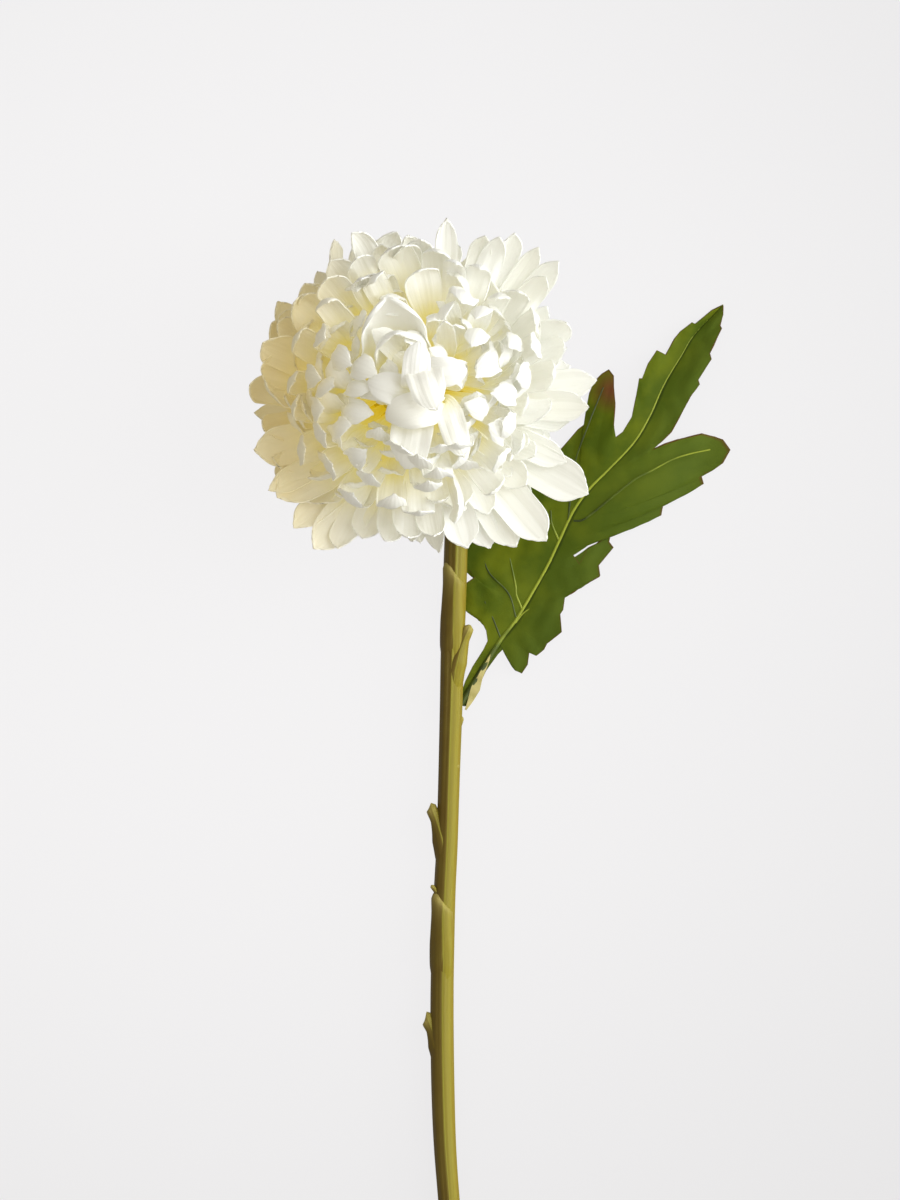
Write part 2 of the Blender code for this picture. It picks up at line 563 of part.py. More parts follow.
def placed_florets():
    """The florets placed by hand, in the same form as those of the ball."""
    rows = np.array(PLACED_FLORETS, float)
    aside = from_photo(rows[:, 0:2]) - BLOOM_CENTRE[:2]
    reach = BLOOM_RADIUS * rows[:, 2]
    ahead = np.sqrt(np.clip(reach**2 - np.sum(aside**2, axis=1), 0.0, None))
    tip = BLOOM_CENTRE + np.column_stack([aside, ahead])
    root = from_photo(rows[:, 3:5]) - CORE_CENTRE[:2]
    root *= np.minimum(1.0, BASE_SPREAD / np.linalg.norm(root, axis=1))[:, None]
    front = np.sqrt(BASE_RADIUS**2 - np.sum(root**2, axis=1)) * rows[:, 5]
    base = CORE_CENTRE + BASE_RADIUS * unit(np.column_stack([root, front]))
    half_width, cup, curl = rows[:, 6:9].T
    straight = np.zeros(len(rows))
    return floret_curves(base, tip, unit(HEART_WAY), PLACED_HOOK * curl, straight, half_width, cup, curl)


def folded_florets():
    """The florets that fold over the heart: they rise from the core and then bend over the way they point."""
    tip = np.column_stack([from_photo([row[0:2] for row in FOLDED_FLORETS]), [row[2] for row in FOLDED_FLORETS]])
    root = from_photo([row[3:5] for row in FOLDED_FLORETS]) - CORE_CENTRE[:2]
    front = np.sqrt(BASE_RADIUS**2 - np.sum(root**2, axis=1))
    base = CORE_CENTRE + np.column_stack([root, front])
    arrive = unit(np.array([row[5] for row in FOLDED_FLORETS]))
    face = unit(np.array([row[6] for row in FOLDED_FLORETS]))
    half_width, cup, curl = np.array([row[7:10] for row in FOLDED_FLORETS]).T
    length = np.linalg.norm(tip - base, axis=1, keepdims=True)
    controls = np.stack([base, base + FOLDED_RISE * length, tip - FOLDED_PULL * length * arrive, tip], axis=1)
    return controls, face, half_width, cup, curl


def all_florets():
    """Every floret: the placed ones, and those of the ball that leave them and the stem free."""
    placed = [np.concatenate(parts) for parts in zip(placed_florets(), folded_florets())]
    by_rule = ball_florets()
    tips = by_rule[0][:, 3]
    spacing = np.linalg.norm(tips[:, None] - placed[0][None, :, 3], axis=2).min(axis=1)
    off_stem = np.linalg.norm(tips[:, None] - stem_line(4.0)[None], axis=2).min(axis=1)
    keep = (spacing > PLACED_SPACING) & (off_stem > STEM_RADIUS + by_rule[2])
    return tuple(np.concatenate([a, b[keep]]) for a, b in zip(placed, by_rule))


def floret_width(u):
    """Share of the full width along a floret: narrow at its base, widest near its round tip."""
    ending = np.clip((u - FLORET_ROUND_FROM) / FLORET_ROUND_OVER, 0.0, 1.0)
    widening = FLORET_FOOT_WIDTH + (1.0 - FLORET_FOOT_WIDTH) * smooth(u, 0.0, CURL_START)
    return widening * np.sqrt(1.0 - ending**2)


def middle_line(controls, face, curl, u):
    """Points on a floret's middle line with its curled end, and the directions along it and into its hollow."""
    point, along = cubic(controls, np.minimum(u, CURL_START))
    hollow = unit(face - np.sum(face * along, axis=1)[:, None] * along)
    end = CURL_REACH * np.linalg.norm(controls[3] - controls[0]) * (1.0 - CURL_START)
    total = max(curl, LEAST_CURL)
    turn = total * np.clip((u - CURL_START) / (1.0 - CURL_START), 0.0, 1.0)[:, None]
    point = point + end / total * (np.sin(turn) * along + (1.0 - np.cos(turn)) * hollow)
    return point, np.cos(turn) * along + np.sin(turn) * hollow, np.cos(turn) * hollow - np.sin(turn) * along


def pressed(points):
    """Points near the surface brought down on it smoothly, and none left below it."""
    soft = PRESS_HEIGHT - PRESS_REST
    above = points[..., 2] - PRESS_REST
    eased = (np.clip(above, -soft, soft) + soft) ** 2 / (4 * soft)
    height = np.where(above > soft, above, eased) + PRESS_REST
    return np.concatenate([points[..., :2], height[..., None]], axis=-1)


def kept_clear(points, line):
    """Points moved out sideways from the stem and from under the cup of bracts."""
    from_core = points - CORE_CENTRE
    axial = from_core @ AXIS
    sideways = from_core - axial[..., None] * AXIS
    lateral = np.linalg.norm(sideways, axis=-1)
    near_cup = (axial < -CUP_CLEAR_DROP) & (axial > -CORE_RADIUS - CUP_CLEAR_DEPTH) & (lateral < CUP_CLEAR_RADIUS)
    push = np.where(near_cup, CUP_CLEAR_RADIUS - lateral, 0.0)
    points = points + push[..., None] * unit(sideways)
    gap = points[..., None, :] - line
    distance = np.linalg.norm(gap, axis=-1)
    nearest = np.argmin(distance, axis=-1)
    away = np.take_along_axis(gap, nearest[..., None, None], axis=-2)[..., 0, :]
    short = STEM_RADIUS + STEM_CLEARANCE - distance.min(axis=-1)
    return points + np.clip(short, 0.0, None)[..., None] * unit(away)


def floret_rings(controls, face, half_width, cup, curl, line):
    """Four-sided sections along a floret, and its tip: an arc of half-angle cup, with thickness in its middle."""
    u = np.append(FLORET_STATIONS, FLORET_TIP)
    middle, along, hollow = middle_line(controls, face, curl, u)
    side = np.cross(along, hollow)
    reach = half_width * floret_width(u)[:, None] / cup
    across = reach * np.sin(cup * EDGE_PLACES)
    lift = reach * (1.0 - np.cos(cup * EDGE_PLACES)) + FLORET_THICKNESS * EDGE_LIFTS
    rings = middle[:, None] + across[..., None] * side[:, None] + lift[..., None] * hollow[:, None]
    rings = kept_clear(pressed(rings), line)
    return rings[:-1], rings[-1].mean(axis=0)


def table_box(collection):
    """A block under the surface."""
    sides = (-TABLE_HALF, TABLE_HALF)
    corners = [(x, y, z) for z in (-TABLE_HALF, 0.0) for y in sides for x in sides]
    faces = [(0, 2, 3, 1), (4, 5, 7, 6), (0, 1, 5, 4), (2, 6, 7, 3), (0, 4, 6, 2), (1, 3, 7, 5)]
    obj = mesh_object("under_surface", corners, faces, collection)
    face_outwards(obj)
    return obj


def build_bloom(parts, work, surface):
    line = stem_line(2.0)
    for number, floret in enumerate(zip(*all_florets())):
        rings, tip = floret_rings(*floret, line)
        loft(f"floret_{number}", rings, work, tip)
    bloom = ball("bloom", CORE_CENTRE, CORE_RADIUS, parts)
    join(bloom, work)
    table_box(work)
    room = stem_line(4.0)
    loft("stem_room", tube_rings(room, np.full(len(room), STEM_RADIUS + STEM_ROOM), 10), work)
    cup_room(work)
    join(bloom, work, "DIFFERENCE")
    keep_largest(bloom)
    bloom.data.materials.clear()
    bloom.data.materials.append(surface)


# Stem


def path_frames(line, end_way=None):
    """Directions along, to the side and up at each point of a line that lies roughly along Y."""
    along = unit(np.gradient(line, axis=0))
    if end_way is not None:
        along[-1] = end_way
    side = unit(np.cross(along, [0.0, 0.0, 1.0]))
    up = np.cross(side, along)
    return along, side, up


def tube_rings(line, radius, sides, end_way=None, ridges=0.0):
    """Rings round a line, from the radius at each of its points. ridges swell three lengthwise ribs."""
    _, side, up = path_frames(line, end_way)
    around = np.arange(sides) * 2 * math.pi / sides
    ribbed = radius[:, None] * (1.0 + ridges * np.cos(3 * around + 0.6))
    return (
        line[:, None]
        + (ribbed * np.cos(around))[..., None] * side[:, None]
        + (ribbed * np.sin(around))[..., None] * up[:, None]
    )


def stub(number, row, collection):
    """A sheath or a cut twig that leaves the stem at a low angle and ends in a rounded tip."""
    low, high, aside, rise, thick, thin = row
    line = stem_line(1.0)
    y = np.linspace(low, high, STUB_STATIONS)
    x = np.interp(y, line[:, 1], line[:, 0])
    z = np.interp(y, line[:, 1], line[:, 2])
    share = np.linspace(0.0, 1.0, STUB_STATIONS) ** 1.3
    path = np.stack([x + aside * share, y, z + rise * share], axis=1)
    radii = np.array([0.75 * thick, thick, thick, thin, 0.6 * thin])
    loft(f"stub_{number}", tube_rings(path, radii, STUB_SIDES), collection)


def build_stem(parts, work, surface):
    line = stem_line(12.0)
    radius = STEM_RADIUS * (1.0 + STEM_SWELL * np.sin(17.0 * np.linspace(0.0, 1.0, len(line))))
    stem = loft("stem", tube_rings(line, radius, STEM_SIDES, AXIS, STEM_RIDGES), parts)
    for number, row in enumerate(STUBS):
        stub(number, row, work)
    join(stem, work)
    table_box(work)
    join(stem, work, "DIFFERENCE")
    keep_largest(stem)
    stem.data.materials.clear()
    stem.data.materials.append(surface)


# Cup of bracts


def cup_profile():
    """Radius and height along the axis, from the core's centre, of the cup's outline."""
    inner = CORE_RADIUS + SEAT_GAP
    outer = inner + CUP_WALL
    angles = np.radians(np.linspace(CUP_ANGLE_DEG, 14.0, 4))
    rim = [(inner * math.sin(a), -inner * math.cos(a)) for a in np.radians([0.0, 10.0, 19.0, CUP_ANGLE_DEG])]
    side = [((outer + 0.2) * math.sin(a), -outer * math.cos(a)) for a in angles]
    foot = -(outer + NECK_LENGTH)
    neck = [(NECK_RADIUS + 1.2, -outer - 0.6), (NECK_RADIUS, foot + 2.0), (NECK_RADIUS, foot)]
    return [*rim, *side, *neck, (0.0, foot)]


def turned(name, profile, segments, collection):
    """A solid turned round the flower's axis from a profile, with a Screw modifier that is applied."""
    mesh = bpy.data.meshes.new(name)
    points = [(radius * MM, 0.0, height * MM) for radius, height in profile]
    mesh.from_pydata(points, [(k, k + 1) for k in range(len(points) - 1)], [])
    obj = bpy.data.objects.new(name, mesh)
    collection.objects.link(obj)
    screw = obj.modifiers.new("turn", "SCREW")
    screw.axis = "Z"
    screw.steps = segments
    screw.render_steps = segments
    screw.use_merge_vertices = True
    screw.merge_threshold = 0.00001
    graph = bpy.context.evaluated_depsgraph_get()
    obj.data = bpy.data.meshes.new_from_object(obj.evaluated_get(graph))
    obj.modifiers.clear()
    axis_frame(obj.data, CORE_CENTRE)
    face_outwards(obj)
    return obj


def cup_room(collection):
    """The space that the florets leave for the cup, its bracts and the neck."""
    outer = CORE_RADIUS + CUP_WALL + BRACT_THICKNESS + 2.0
    reach = math.radians(CUP_ANGLE_DEG + 9.0)
    ring = [((outer) * math.sin(a), -outer * math.cos(a)) for a in np.linspace(reach, 0.25, 5)]
    inner = CORE_RADIUS + 0.02
    lid = [(inner * math.sin(a), -inner * math.cos(a)) for a in np.linspace(0.0, reach, 6)]
    profile = [*lid, *ring, (NECK_RADIUS + 1.5, -outer - 6.0), (0.0, -outer - 6.0)]
    turned("cup_room", profile, 24, collection)


def bract(number, collection):
    """A pointed scale that lies on the cup and ends just past its rim."""
    turn = 2 * math.pi * number / BRACTS
    high = number % 2
    radius = CORE_RADIUS + SEAT_GAP + CUP_WALL + (0.15 if high else -0.2)
    degrees = np.array([9.0, 17.0, 24.0, 31.0 if high else 28.0, 34.5 if high else 31.0])
    half = BRACT_HALF_WIDTH * np.array([0.7, 0.95, 1.0, 0.7, 0.12])
    thick = BRACT_THICKNESS * np.array([0.5, 0.5, 0.5, 0.4, 0.3])
    polar = math.pi - np.radians(degrees)
    out = sphere_direction(polar, np.full(5, turn))
    side = unit(np.cross(out, AXIS))
    middle = CORE_CENTRE + radius * out
    rings = np.stack(
        [middle - half[:, None] * side, middle + thick[:, None] * out, middle + half[:, None] * side,
         middle - thick[:, None] * out],
        axis=1,
    )
    loft(f"bract_{number}", rings, collection)


def build_cup(parts, work, surface):
    cup = turned("involucre", cup_profile(), CUP_SEGMENTS, parts)
    for number in range(BRACTS):
        bract(number, work)
    join(cup, work)
    keep_largest(cup)
    cup.data.materials.clear()
    cup.data.materials.append(surface)


# Leaf


def rib_line():
    """The leaf's middle line seen from above, finely, with its length up to each point."""
    line = smooth_line([(x, y, 0.0) for x, y in LEAF_RIB], 1.0)[:, :2]
    steps = np.linalg.norm(np.diff(line, axis=0), axis=1)
    reach = np.concatenate([[0.0], np.cumsum(steps)])
    return line, reach * LEAF_LENGTH / reach[-1]


def leaf_height(reach, aside):
    """Height of the blade: it arches over its outer half, folds up a little from its rib and droops at its sides."""
    share = np.clip(reach / LEAF_LENGTH, 0.0, 1.0)
    low, top, high = LEAF_ARCH_PLACES
    arch = LEAF_ARCH * (smooth(share, low, top) - smooth(share, top, high))
    fall = (LEAF_FOOT[2] - LEAF_REST) * (1.0 - share) ** 2.2 + arch
    wide = np.abs(aside)
    fold = 0.16 * wide - 0.006 * wide**2
    return LEAF_REST + fall + fold + 0.5 * np.sin(0.21 * reach) * np.clip(wide / 12.0, 0.0, 1.0)


def blade_rows(margin, side):
    """Rows of three points from the rib to the margin, curved back towards the foot, in plan and with height."""
    line, reach = rib_line()
    foot, x, y = np.array(margin, float).T
    root = np.stack([np.interp(foot, reach, line[:, 0]), np.interp(foot, reach, line[:, 1])], axis=1)
    along = unit(np.stack([np.interp(foot, reach, np.gradient(line[:, k])) for k in (0, 1)], axis=1))
    across = np.stack([along[:, 1], -along[:, 0]], axis=1)
    tip = np.stack([x, y], axis=1)
    span = np.linalg.norm(tip - root, axis=1, keepdims=True)
    bent = 0.5 * (root + tip) - MARGIN_BEND * span * along
    middle = 0.25 * root + 0.5 * bent + 0.25 * tip
    start = root - side * HALF_OVERLAP * across
    rows = np.stack([start, middle, tip], axis=1)
    wide = np.linalg.norm(rows - root[:, None], axis=2)
    wide[:, 0] = 0.0
    height = leaf_height(foot[:, None] + np.zeros(3), wide)
    plan = np.concatenate([rows, height[..., None]], axis=2)
    return plan + [LEAF_FOOT[0], LEAF_FOOT[1], 0.0]


def leaf_half(name, margin, side, collection):
    """Half of the blade, from just across the rib to the margin, split alike above and below."""
    rows = blade_rows(margin, side)
    count, wide, _ = rows.shape
    lift = np.array([0.0, 0.0, 0.5 * LEAF_THICKNESS])
    points = np.vstack([(rows + lift).reshape(-1, 3), (rows - lift).reshape(-1, 3)])
    below = count * wide
    faces = []
    for i in range(count - 1):
        for j in range(wide - 1):
            a = i * wide + j
            b = a + 1
            c = b + wide
            d = a + wide
            faces += [(a, b, c), (a, c, d), (below + a, below + c, below + b), (below + a, below + d, below + c)]
    edge = [i * wide for i in range(count)]
    edge += [(count - 1) * wide + j for j in range(1, wide)]
    edge += [i * wide + wide - 1 for i in range(count - 2, -1, -1)]
    edge += list(range(wide - 2, 0, -1))
    for here, there in zip(edge, edge[1:] + edge[:1]):
        faces += [(here, there, below + there), (here, below + there, below + here)]
    obj = mesh_object(name, points, faces, collection)
    face_outwards(obj)
    return obj


def build_leaf(parts, work, surface):
    line, reach = rib_line()
    keep = np.append(np.arange(0, len(line) - 1, 6), len(line) - 1)
    height = leaf_height(reach[keep], np.zeros(len(keep)))
    path = np.column_stack([line[keep] + LEAF_FOOT[:2], height])
    share = np.linspace(0.0, 1.0, len(path))
    radius = RIB_RADIUS + (RIB_TIP_RADIUS - RIB_RADIUS) * np.clip(1.6 * share, 0.0, 1.0)
    leaf = loft("leaf", tube_rings(path, radius, RIB_SIDES), parts)
    leaf_half("left_half", LEFT_MARGIN, -1.0, work)
    leaf_half("right_half", RIGHT_MARGIN, 1.0, work)
    join(leaf, work)
    table_box(work)
    join(leaf, work, "DIFFERENCE")
    keep_largest(leaf)
    leaf.data.materials.clear()
    leaf.data.materials.append(surface)


def main():
    clear_scene()
    parts = new_collection("pompon_chrysanthemum")
    work = new_collection("joined_shapes", hidden=True)
    build_bloom(parts, work, material("petal_white", (0.83, 0.81, 0.66), 0.6))
    build_cup(parts, work, material("bract_green", (0.12, 0.15, 0.03), 0.6))
    build_stem(parts, work, material("stem_olive", (0.24, 0.19, 0.03), 0.5))
    build_leaf(parts, work, material("leaf_green", (0.08, 0.14, 0.02), 0.55))


main()
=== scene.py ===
# %% [markdown]
# # A pompon chrysanthemum laid on a pale table
#
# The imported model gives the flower's solids at their real size: a ball of plain petals, a cup of
# bracts, a stem and a leaf. This lesson dresses them. Each solid is replaced by a finer piece that
# keeps its place and form, worked out with numpy as a function of two parameters.
#
# Shapes are worked out in millimetres in the flower's own measure, where x and y are read off the
# photo at 3 pixels to a millimetre from its middle, and z is the height above the table. `place`
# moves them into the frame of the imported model, in metres.

# %% Load the frame
import math

import bpy
import numpy as np
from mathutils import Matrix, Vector


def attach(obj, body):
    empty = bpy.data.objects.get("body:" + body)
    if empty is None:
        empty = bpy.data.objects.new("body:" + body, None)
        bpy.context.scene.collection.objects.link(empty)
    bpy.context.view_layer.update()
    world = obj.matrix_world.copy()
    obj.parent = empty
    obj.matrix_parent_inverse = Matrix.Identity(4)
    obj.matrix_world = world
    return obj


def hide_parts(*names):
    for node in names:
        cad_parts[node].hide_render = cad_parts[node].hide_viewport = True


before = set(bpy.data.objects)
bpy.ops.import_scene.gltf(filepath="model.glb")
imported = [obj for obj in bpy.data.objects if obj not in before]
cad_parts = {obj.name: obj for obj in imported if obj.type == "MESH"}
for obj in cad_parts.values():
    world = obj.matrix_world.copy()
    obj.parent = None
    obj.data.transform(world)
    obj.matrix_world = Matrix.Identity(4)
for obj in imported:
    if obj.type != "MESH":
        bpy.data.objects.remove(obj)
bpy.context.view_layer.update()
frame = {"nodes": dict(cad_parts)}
print("solids to dress:", ", ".join(frame["nodes"]))

# %% Measures
MM = 0.001
SHIFT = np.array([-13.1, 96.7, 0.0])
TAU = 2.0 * math.pi


def place(points):
    """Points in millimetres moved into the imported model's frame, in metres."""
    return (np.asarray(points) + SHIFT) * MM


def unit(v):
    """v, or each row of v, made one long."""
    return v / np.maximum(np.linalg.norm(v, axis=-1, keepdims=True), 1e-9)


def smooth(x, low, high):
    """A smooth step: 0 below low, 1 above high, with flat ends between them."""
    t = np.clip((x - low) / (high - low), 0.0, 1.0)
    return t * t * (3.0 - 2.0 * t)


# %% [markdown]
# ## Meshes from arrays
#
# Every piece here is either a thin closed sheet (a petal, a bract, the leaf) or a closed tube (the
# stem, a stub, a vein). Blender could thicken a flat sheet with Solidify, but then each petal's
# edge would be hard to control. Two grids of points, one for each face, and a rim between them say
# exactly where the sheet is.

# %% Mesh helpers
def sheet_faces(rows, columns):
    """Quads of a closed sheet: an upper grid, the same grid below it turned over, and the rim."""
    count = rows * columns
    i, j = np.meshgrid(np.arange(rows - 1), np.arange(columns - 1), indexing="ij")
    a = (i * columns + j).ravel()
    upper = np.stack([a, a + 1, a + columns + 1, a + columns], axis=1)
    lower = upper[:, ::-1] + count
    loop = np.concatenate(
        [
            np.arange(columns),
            np.arange(1, rows) * columns + columns - 1,
            (rows - 1) * columns + np.arange(columns - 2, -1, -1),
            np.arange(rows - 2, 0, -1) * columns,
        ]
    )
    after = np.roll(loop, -1)
    rim = np.stack([after, loop, loop + count, after + count], axis=1)
    return np.concatenate([upper, lower, rim])


def tube_faces(rings, sides):
    """Quads round a tube, and triangles from a middle point at each end."""
    i, j = np.meshgrid(np.arange(rings - 1), np.arange(sides), indexing="ij")
    a = (i * sides + j).ravel()
    b = (i * sides + (j + 1) % sides).ravel()
    wall = np.stack([a, a + sides, b + sides, b], axis=1)
    around = np.arange(sides)
    after = (around + 1) % sides
    low_middle = np.full(sides, rings * sides)
    high_middle = np.full(sides, rings * sides + 1)
    last_ring = (rings - 1) * sides
    low = np.stack([around, after, low_middle], axis=1)
    high = np.stack([after + last_ring, around + last_ring, high_middle], axis=1)
    return wall, np.concatenate([low, high])


def fill_mesh(name, points, polygons, attributes=None, uv=None, sharp_deg=50.0):
    """A smooth-shaded mesh object from points and polygons, with its attributes and UV map."""
    mesh = bpy.data.meshes.new(name)
    corners = np.concatenate([p.ravel() for p in polygons])
    sizes = np.concatenate([np.full(len(p), p.shape[1]) for p in polygons])
    starts = np.concatenate([[0], np.cumsum(sizes)[:-1]])
    mesh.vertices.add(len(points))
    mesh.vertices.foreach_set("co", place(points).astype(np.float32).ravel())
    mesh.loops.add(len(corners))
    mesh.loops.foreach_set("vertex_index", corners.astype(np.int32))
    mesh.polygons.add(len(sizes))
    mesh.polygons.foreach_set("loop_start", starts.astype(np.int32))
    mesh.polygons.foreach_set("use_smooth", np.ones(len(sizes), bool))
    mesh.update(calc_edges=True)
    for key, values in (attributes or {}).items():
        layer = mesh.attributes.new(key, "FLOAT", "POINT")
        layer.data.foreach_set("value", np.asarray(values, np.float32).ravel())
    if uv is not None:
        layer = mesh.uv_layers.new(name="UVMap")
        layer.data.foreach_set("uv", np.asarray(uv, np.float32)[corners].ravel())
    mesh.validate()
    mesh.set_sharp_from_angle(angle=math.radians(sharp_deg))
    obj = bpy.data.objects.new(name, mesh)
    bpy.context.scene.collection.objects.link(obj)
    triangles = int((sizes - 2).sum())
    print(f"{name}: {triangles} triangles")
    return obj


def sheets(name, middle, thickness, attributes, uv):
    """One object of many closed sheets. middle is (sheets, rows, columns, 3).

    The upper and lower faces lie half the thickness off it, along the normals from its own slopes.
    """
    along = np.gradient(middle, axis=1)
    across = np.gradient(middle, axis=2)
    normal = unit(np.cross(across, along))
    half = 0.5 * thickness * normal
    count, rows, columns, _ = middle.shape
    both = np.stack([middle + half, middle - half], axis=1)
    faces = sheet_faces(rows, columns)
    step = 2 * rows * columns
    faces = (faces[None] + (np.arange(count) * step)[:, None, None]).reshape(-1, 4)
    twice = {key: np.stack([value, value], axis=1) for key, value in attributes.items()}
    uv = np.stack([uv, uv], axis=1).reshape(-1, 2)
    return fill_mesh(name, both.reshape(-1, 3), [faces], twice, uv)


def tube(name, rings, attributes=None, uv=None):
    """A closed tube from an array of rings, (rings, sides, 3)."""
    count, sides, _ = rings.shape
    ends = np.stack([rings[0].mean(axis=0), rings[-1].mean(axis=0)])
    points = np.vstack([rings.reshape(-1, 3), ends])
    wall, caps = tube_faces(count, sides)
    padded = {}
    for key, value in (attributes or {}).items():
        padded[key] = np.concatenate([value.ravel(), [value[0].mean(), value[-1].mean()]])
    if uv is not None:
        uv = np.vstack([uv.reshape(-1, 2), uv[0].mean(axis=0), uv[-1].mean(axis=0)])
    return fill_mesh(name, points, [wall, caps], padded, uv)


def join_pieces(name, pieces):
    """Several objects made one, so that the model has one piece for each part of the flower."""
    with bpy.context.temp_override(active_object=pieces[0], selected_editable_objects=pieces):
        bpy.ops.object.join()
    pieces[0].name = name
    return pieces[0]


def dress(piece, surface, node):
    """Gives a finished piece its material and the body it rides on, and hides the solid it stands
    for.
    """
    piece.data.materials.clear()
    piece.data.materials.append(surface)
    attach(piece, "root")
    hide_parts(node)
    return piece


# %% [markdown]
# ## Smooth lines
#
# The stem and the leaf's rib follow a few given points. A curve that passes through its
# points (a Catmull-Rom curve) keeps them where the photo shows them.

# %% Lines and tubes
def smooth_line(points, step):
    """Points about one step apart on a smooth curve through the given points."""
    points = np.asarray(points, float)
    padded = np.vstack([2 * points[0] - points[1], points, 2 * points[-1] - points[-2]])
    made = []
    for k in range(len(points) - 1):
        a, b, c, d = padded[k : k + 4]
        count = max(1, round(float(np.linalg.norm(c - b)) / step))
        t = (np.arange(count) / count)[:, None]
        bend = (2 * a - 5 * b + 4 * c - d) * t**2 + (3 * b - a - 3 * c + d) * t**3
        made.append(0.5 * (2 * b + (c - a) * t + bend))
    made.append(points[-1:])
    return np.vstack(made)


def path_frames(line, end_way=None):
    """Directions along, to the side and up at each point of a line that lies roughly along y."""
    along = unit(np.gradient(line, axis=0))
    if end_way is not None:
        along[-1] = end_way
    side = unit(np.cross(along, [0.0, 0.0, 1.0]))
    return along, side, np.cross(side, along)


def turns(sides):
    """Equal steps of one turn round a ring."""
    return np.arange(sides) * TAU / sides


def rings_round(line, radius, end_way=None):
    """Rings round a line. radius is (points, sides), measured from the side round over the top."""
    _, side, up = path_frames(line, end_way)
    turn = turns(radius.shape[1])
    return (
        line[:, None]
        + (radius * np.cos(turn))[..., None] * side[:, None]
        + (radius * np.sin(turn))[..., None] * up[:, None]
    )


# %% [markdown]
# ## Where the bloom is
#
# The bloom is a ball of petals round the flower's axis. In the photo every petal shows its hollow
# inner side, so the axis points nearly at the viewer, a little up and to the left. The petals grow
# from a small core. These measures repeat those of the solids.

# %% Bloom measures
PX_PER_MM = 3.0
PHOTO_MIDDLE = np.array([450.0, 600.0])
BLOOM_CENTRE = np.array([-13.0, 71.0, 49.0])
BLOOM_RADIUS = 54.0
AXIS = unit(np.array([-0.30, 0.40, 0.87]))
ACROSS = unit(np.cross(AXIS, [0.0, 0.0, 1.0]))
UPWARD = np.cross(ACROSS, AXIS)
CORE_DROP = 6.0
CORE_RADIUS = 24.0
CORE_CENTRE = BLOOM_CENTRE - CORE_DROP * AXIS
BASE_RADIUS = 15.5
FLORETS = 165
LOWEST_FLORET = math.radians(150.0)
LOWEST_BASE = math.radians(122.0)
GOLDEN_ANGLE = math.pi * (3.0 - math.sqrt(5.0))
SEED = 24
TIP_FLOOR = -4.2


def from_photo(pixels):
    """Places in the photo, in pixels, turned into millimetres from its middle, with y upwards."""
    return (np.asarray(pixels, float) - PHOTO_MIDDLE) * [1.0, -1.0] / PX_PER_MM


def sphere_direction(polar, turn):
    """Directions by the angle from the flower's axis and the turn round it."""
    polar = np.asarray(polar)[..., None]
    turn = np.asarray(turn)[..., None]
    return np.cos(polar) * AXIS + np.sin(polar) * (np.cos(turn) * ACROSS + np.sin(turn) * UPWARD)


# %% [markdown]
# ## The stem's line
#
# The stem lies along the table with the sideways bends of the photo. Under the bloom, where the
# photo doesn't show it, it bends up into the cup of bracts.

# %% Stem line
STEM_END_Y = -320.0
STEM_SLOPE = 0.018
STEM_RADIUS = 3.75
STEM_SEAT = 0.25
CUP_WALL = 1.6
SEAT_GAP = 0.35
NECK_LENGTH = 4.0
BEND_PULL = 14.0
BEND_END_PULL = 11.0
STEM_LINE = (
    (6.0, -320.0), (5.6, -300.0), (4.3, -267.0), (2.0, -233.0), (-0.7, -200.0), (-1.9, -183.0),
    (-2.5, -167.0), (-2.8, -150.0), (-2.8, -133.0), (-2.5, -117.0), (-2.0, -100.0), (-1.2, -83.0),
    (-0.7, -67.0), (-0.2, -50.0), (0.3, -33.0), (0.7, -17.0), (1.3, 0.0), (1.9, 20.0),
)
STEM_TOP = CORE_CENTRE - (CORE_RADIUS + 2 * SEAT_GAP + CUP_WALL + NECK_LENGTH) * AXIS


def stem_line(step):
    """Points on the stem's line: the listed part, then the bend up into the cup."""
    by_hand = []
    for x, y in STEM_LINE:
        by_hand.append((x, y, STEM_RADIUS - STEM_SEAT + (y - STEM_END_Y) * STEM_SLOPE))
    start = np.array(by_hand[-1])
    controls = [start, start + [0.0, BEND_PULL, 0.1], STEM_TOP - BEND_END_PULL * AXIS, STEM_TOP]
    t = np.linspace(0.0, 1.0, 9)[1:, None]
    a, b, c, d = controls
    bend = (1 - t) ** 3 * a + 3 * (1 - t) ** 2 * t * b + 3 * (1 - t) * t**2 * c + t**3 * d
    return smooth_line(np.vstack([by_hand, bend]), step)


# %% [markdown]
# ## Where each petal grows
#
# A chrysanthemum packs its florets by the golden angle, like the seeds of a sunflower: floret
# after floret turns on by 137.5 degrees while it moves from the apex down the ball. The solids
# place their petals so, and the same rule with the same seed gives the same petals here. The
# petals that stand out in the photo are placed one by one.

# %% Florets of the ball
LEAVE_BACK = 0.25
CURVE_PULL = 0.36
TILT_SPREAD = 0.045
TURN_SPREAD = 0.06
ROLL_SPREAD = 0.35
HALF_WIDTHS = (4.8, 6.6)
LENGTHS = (-0.05, 0.035)
SHORT_LENGTHS = (0.86, 0.94)
CUPS = (0.85, 1.3)
HOOKS = (0.5, 1.0)
CURLS = (0.7, 1.5)
OPEN_FROM = 85.0
OPEN_OVER = 45.0


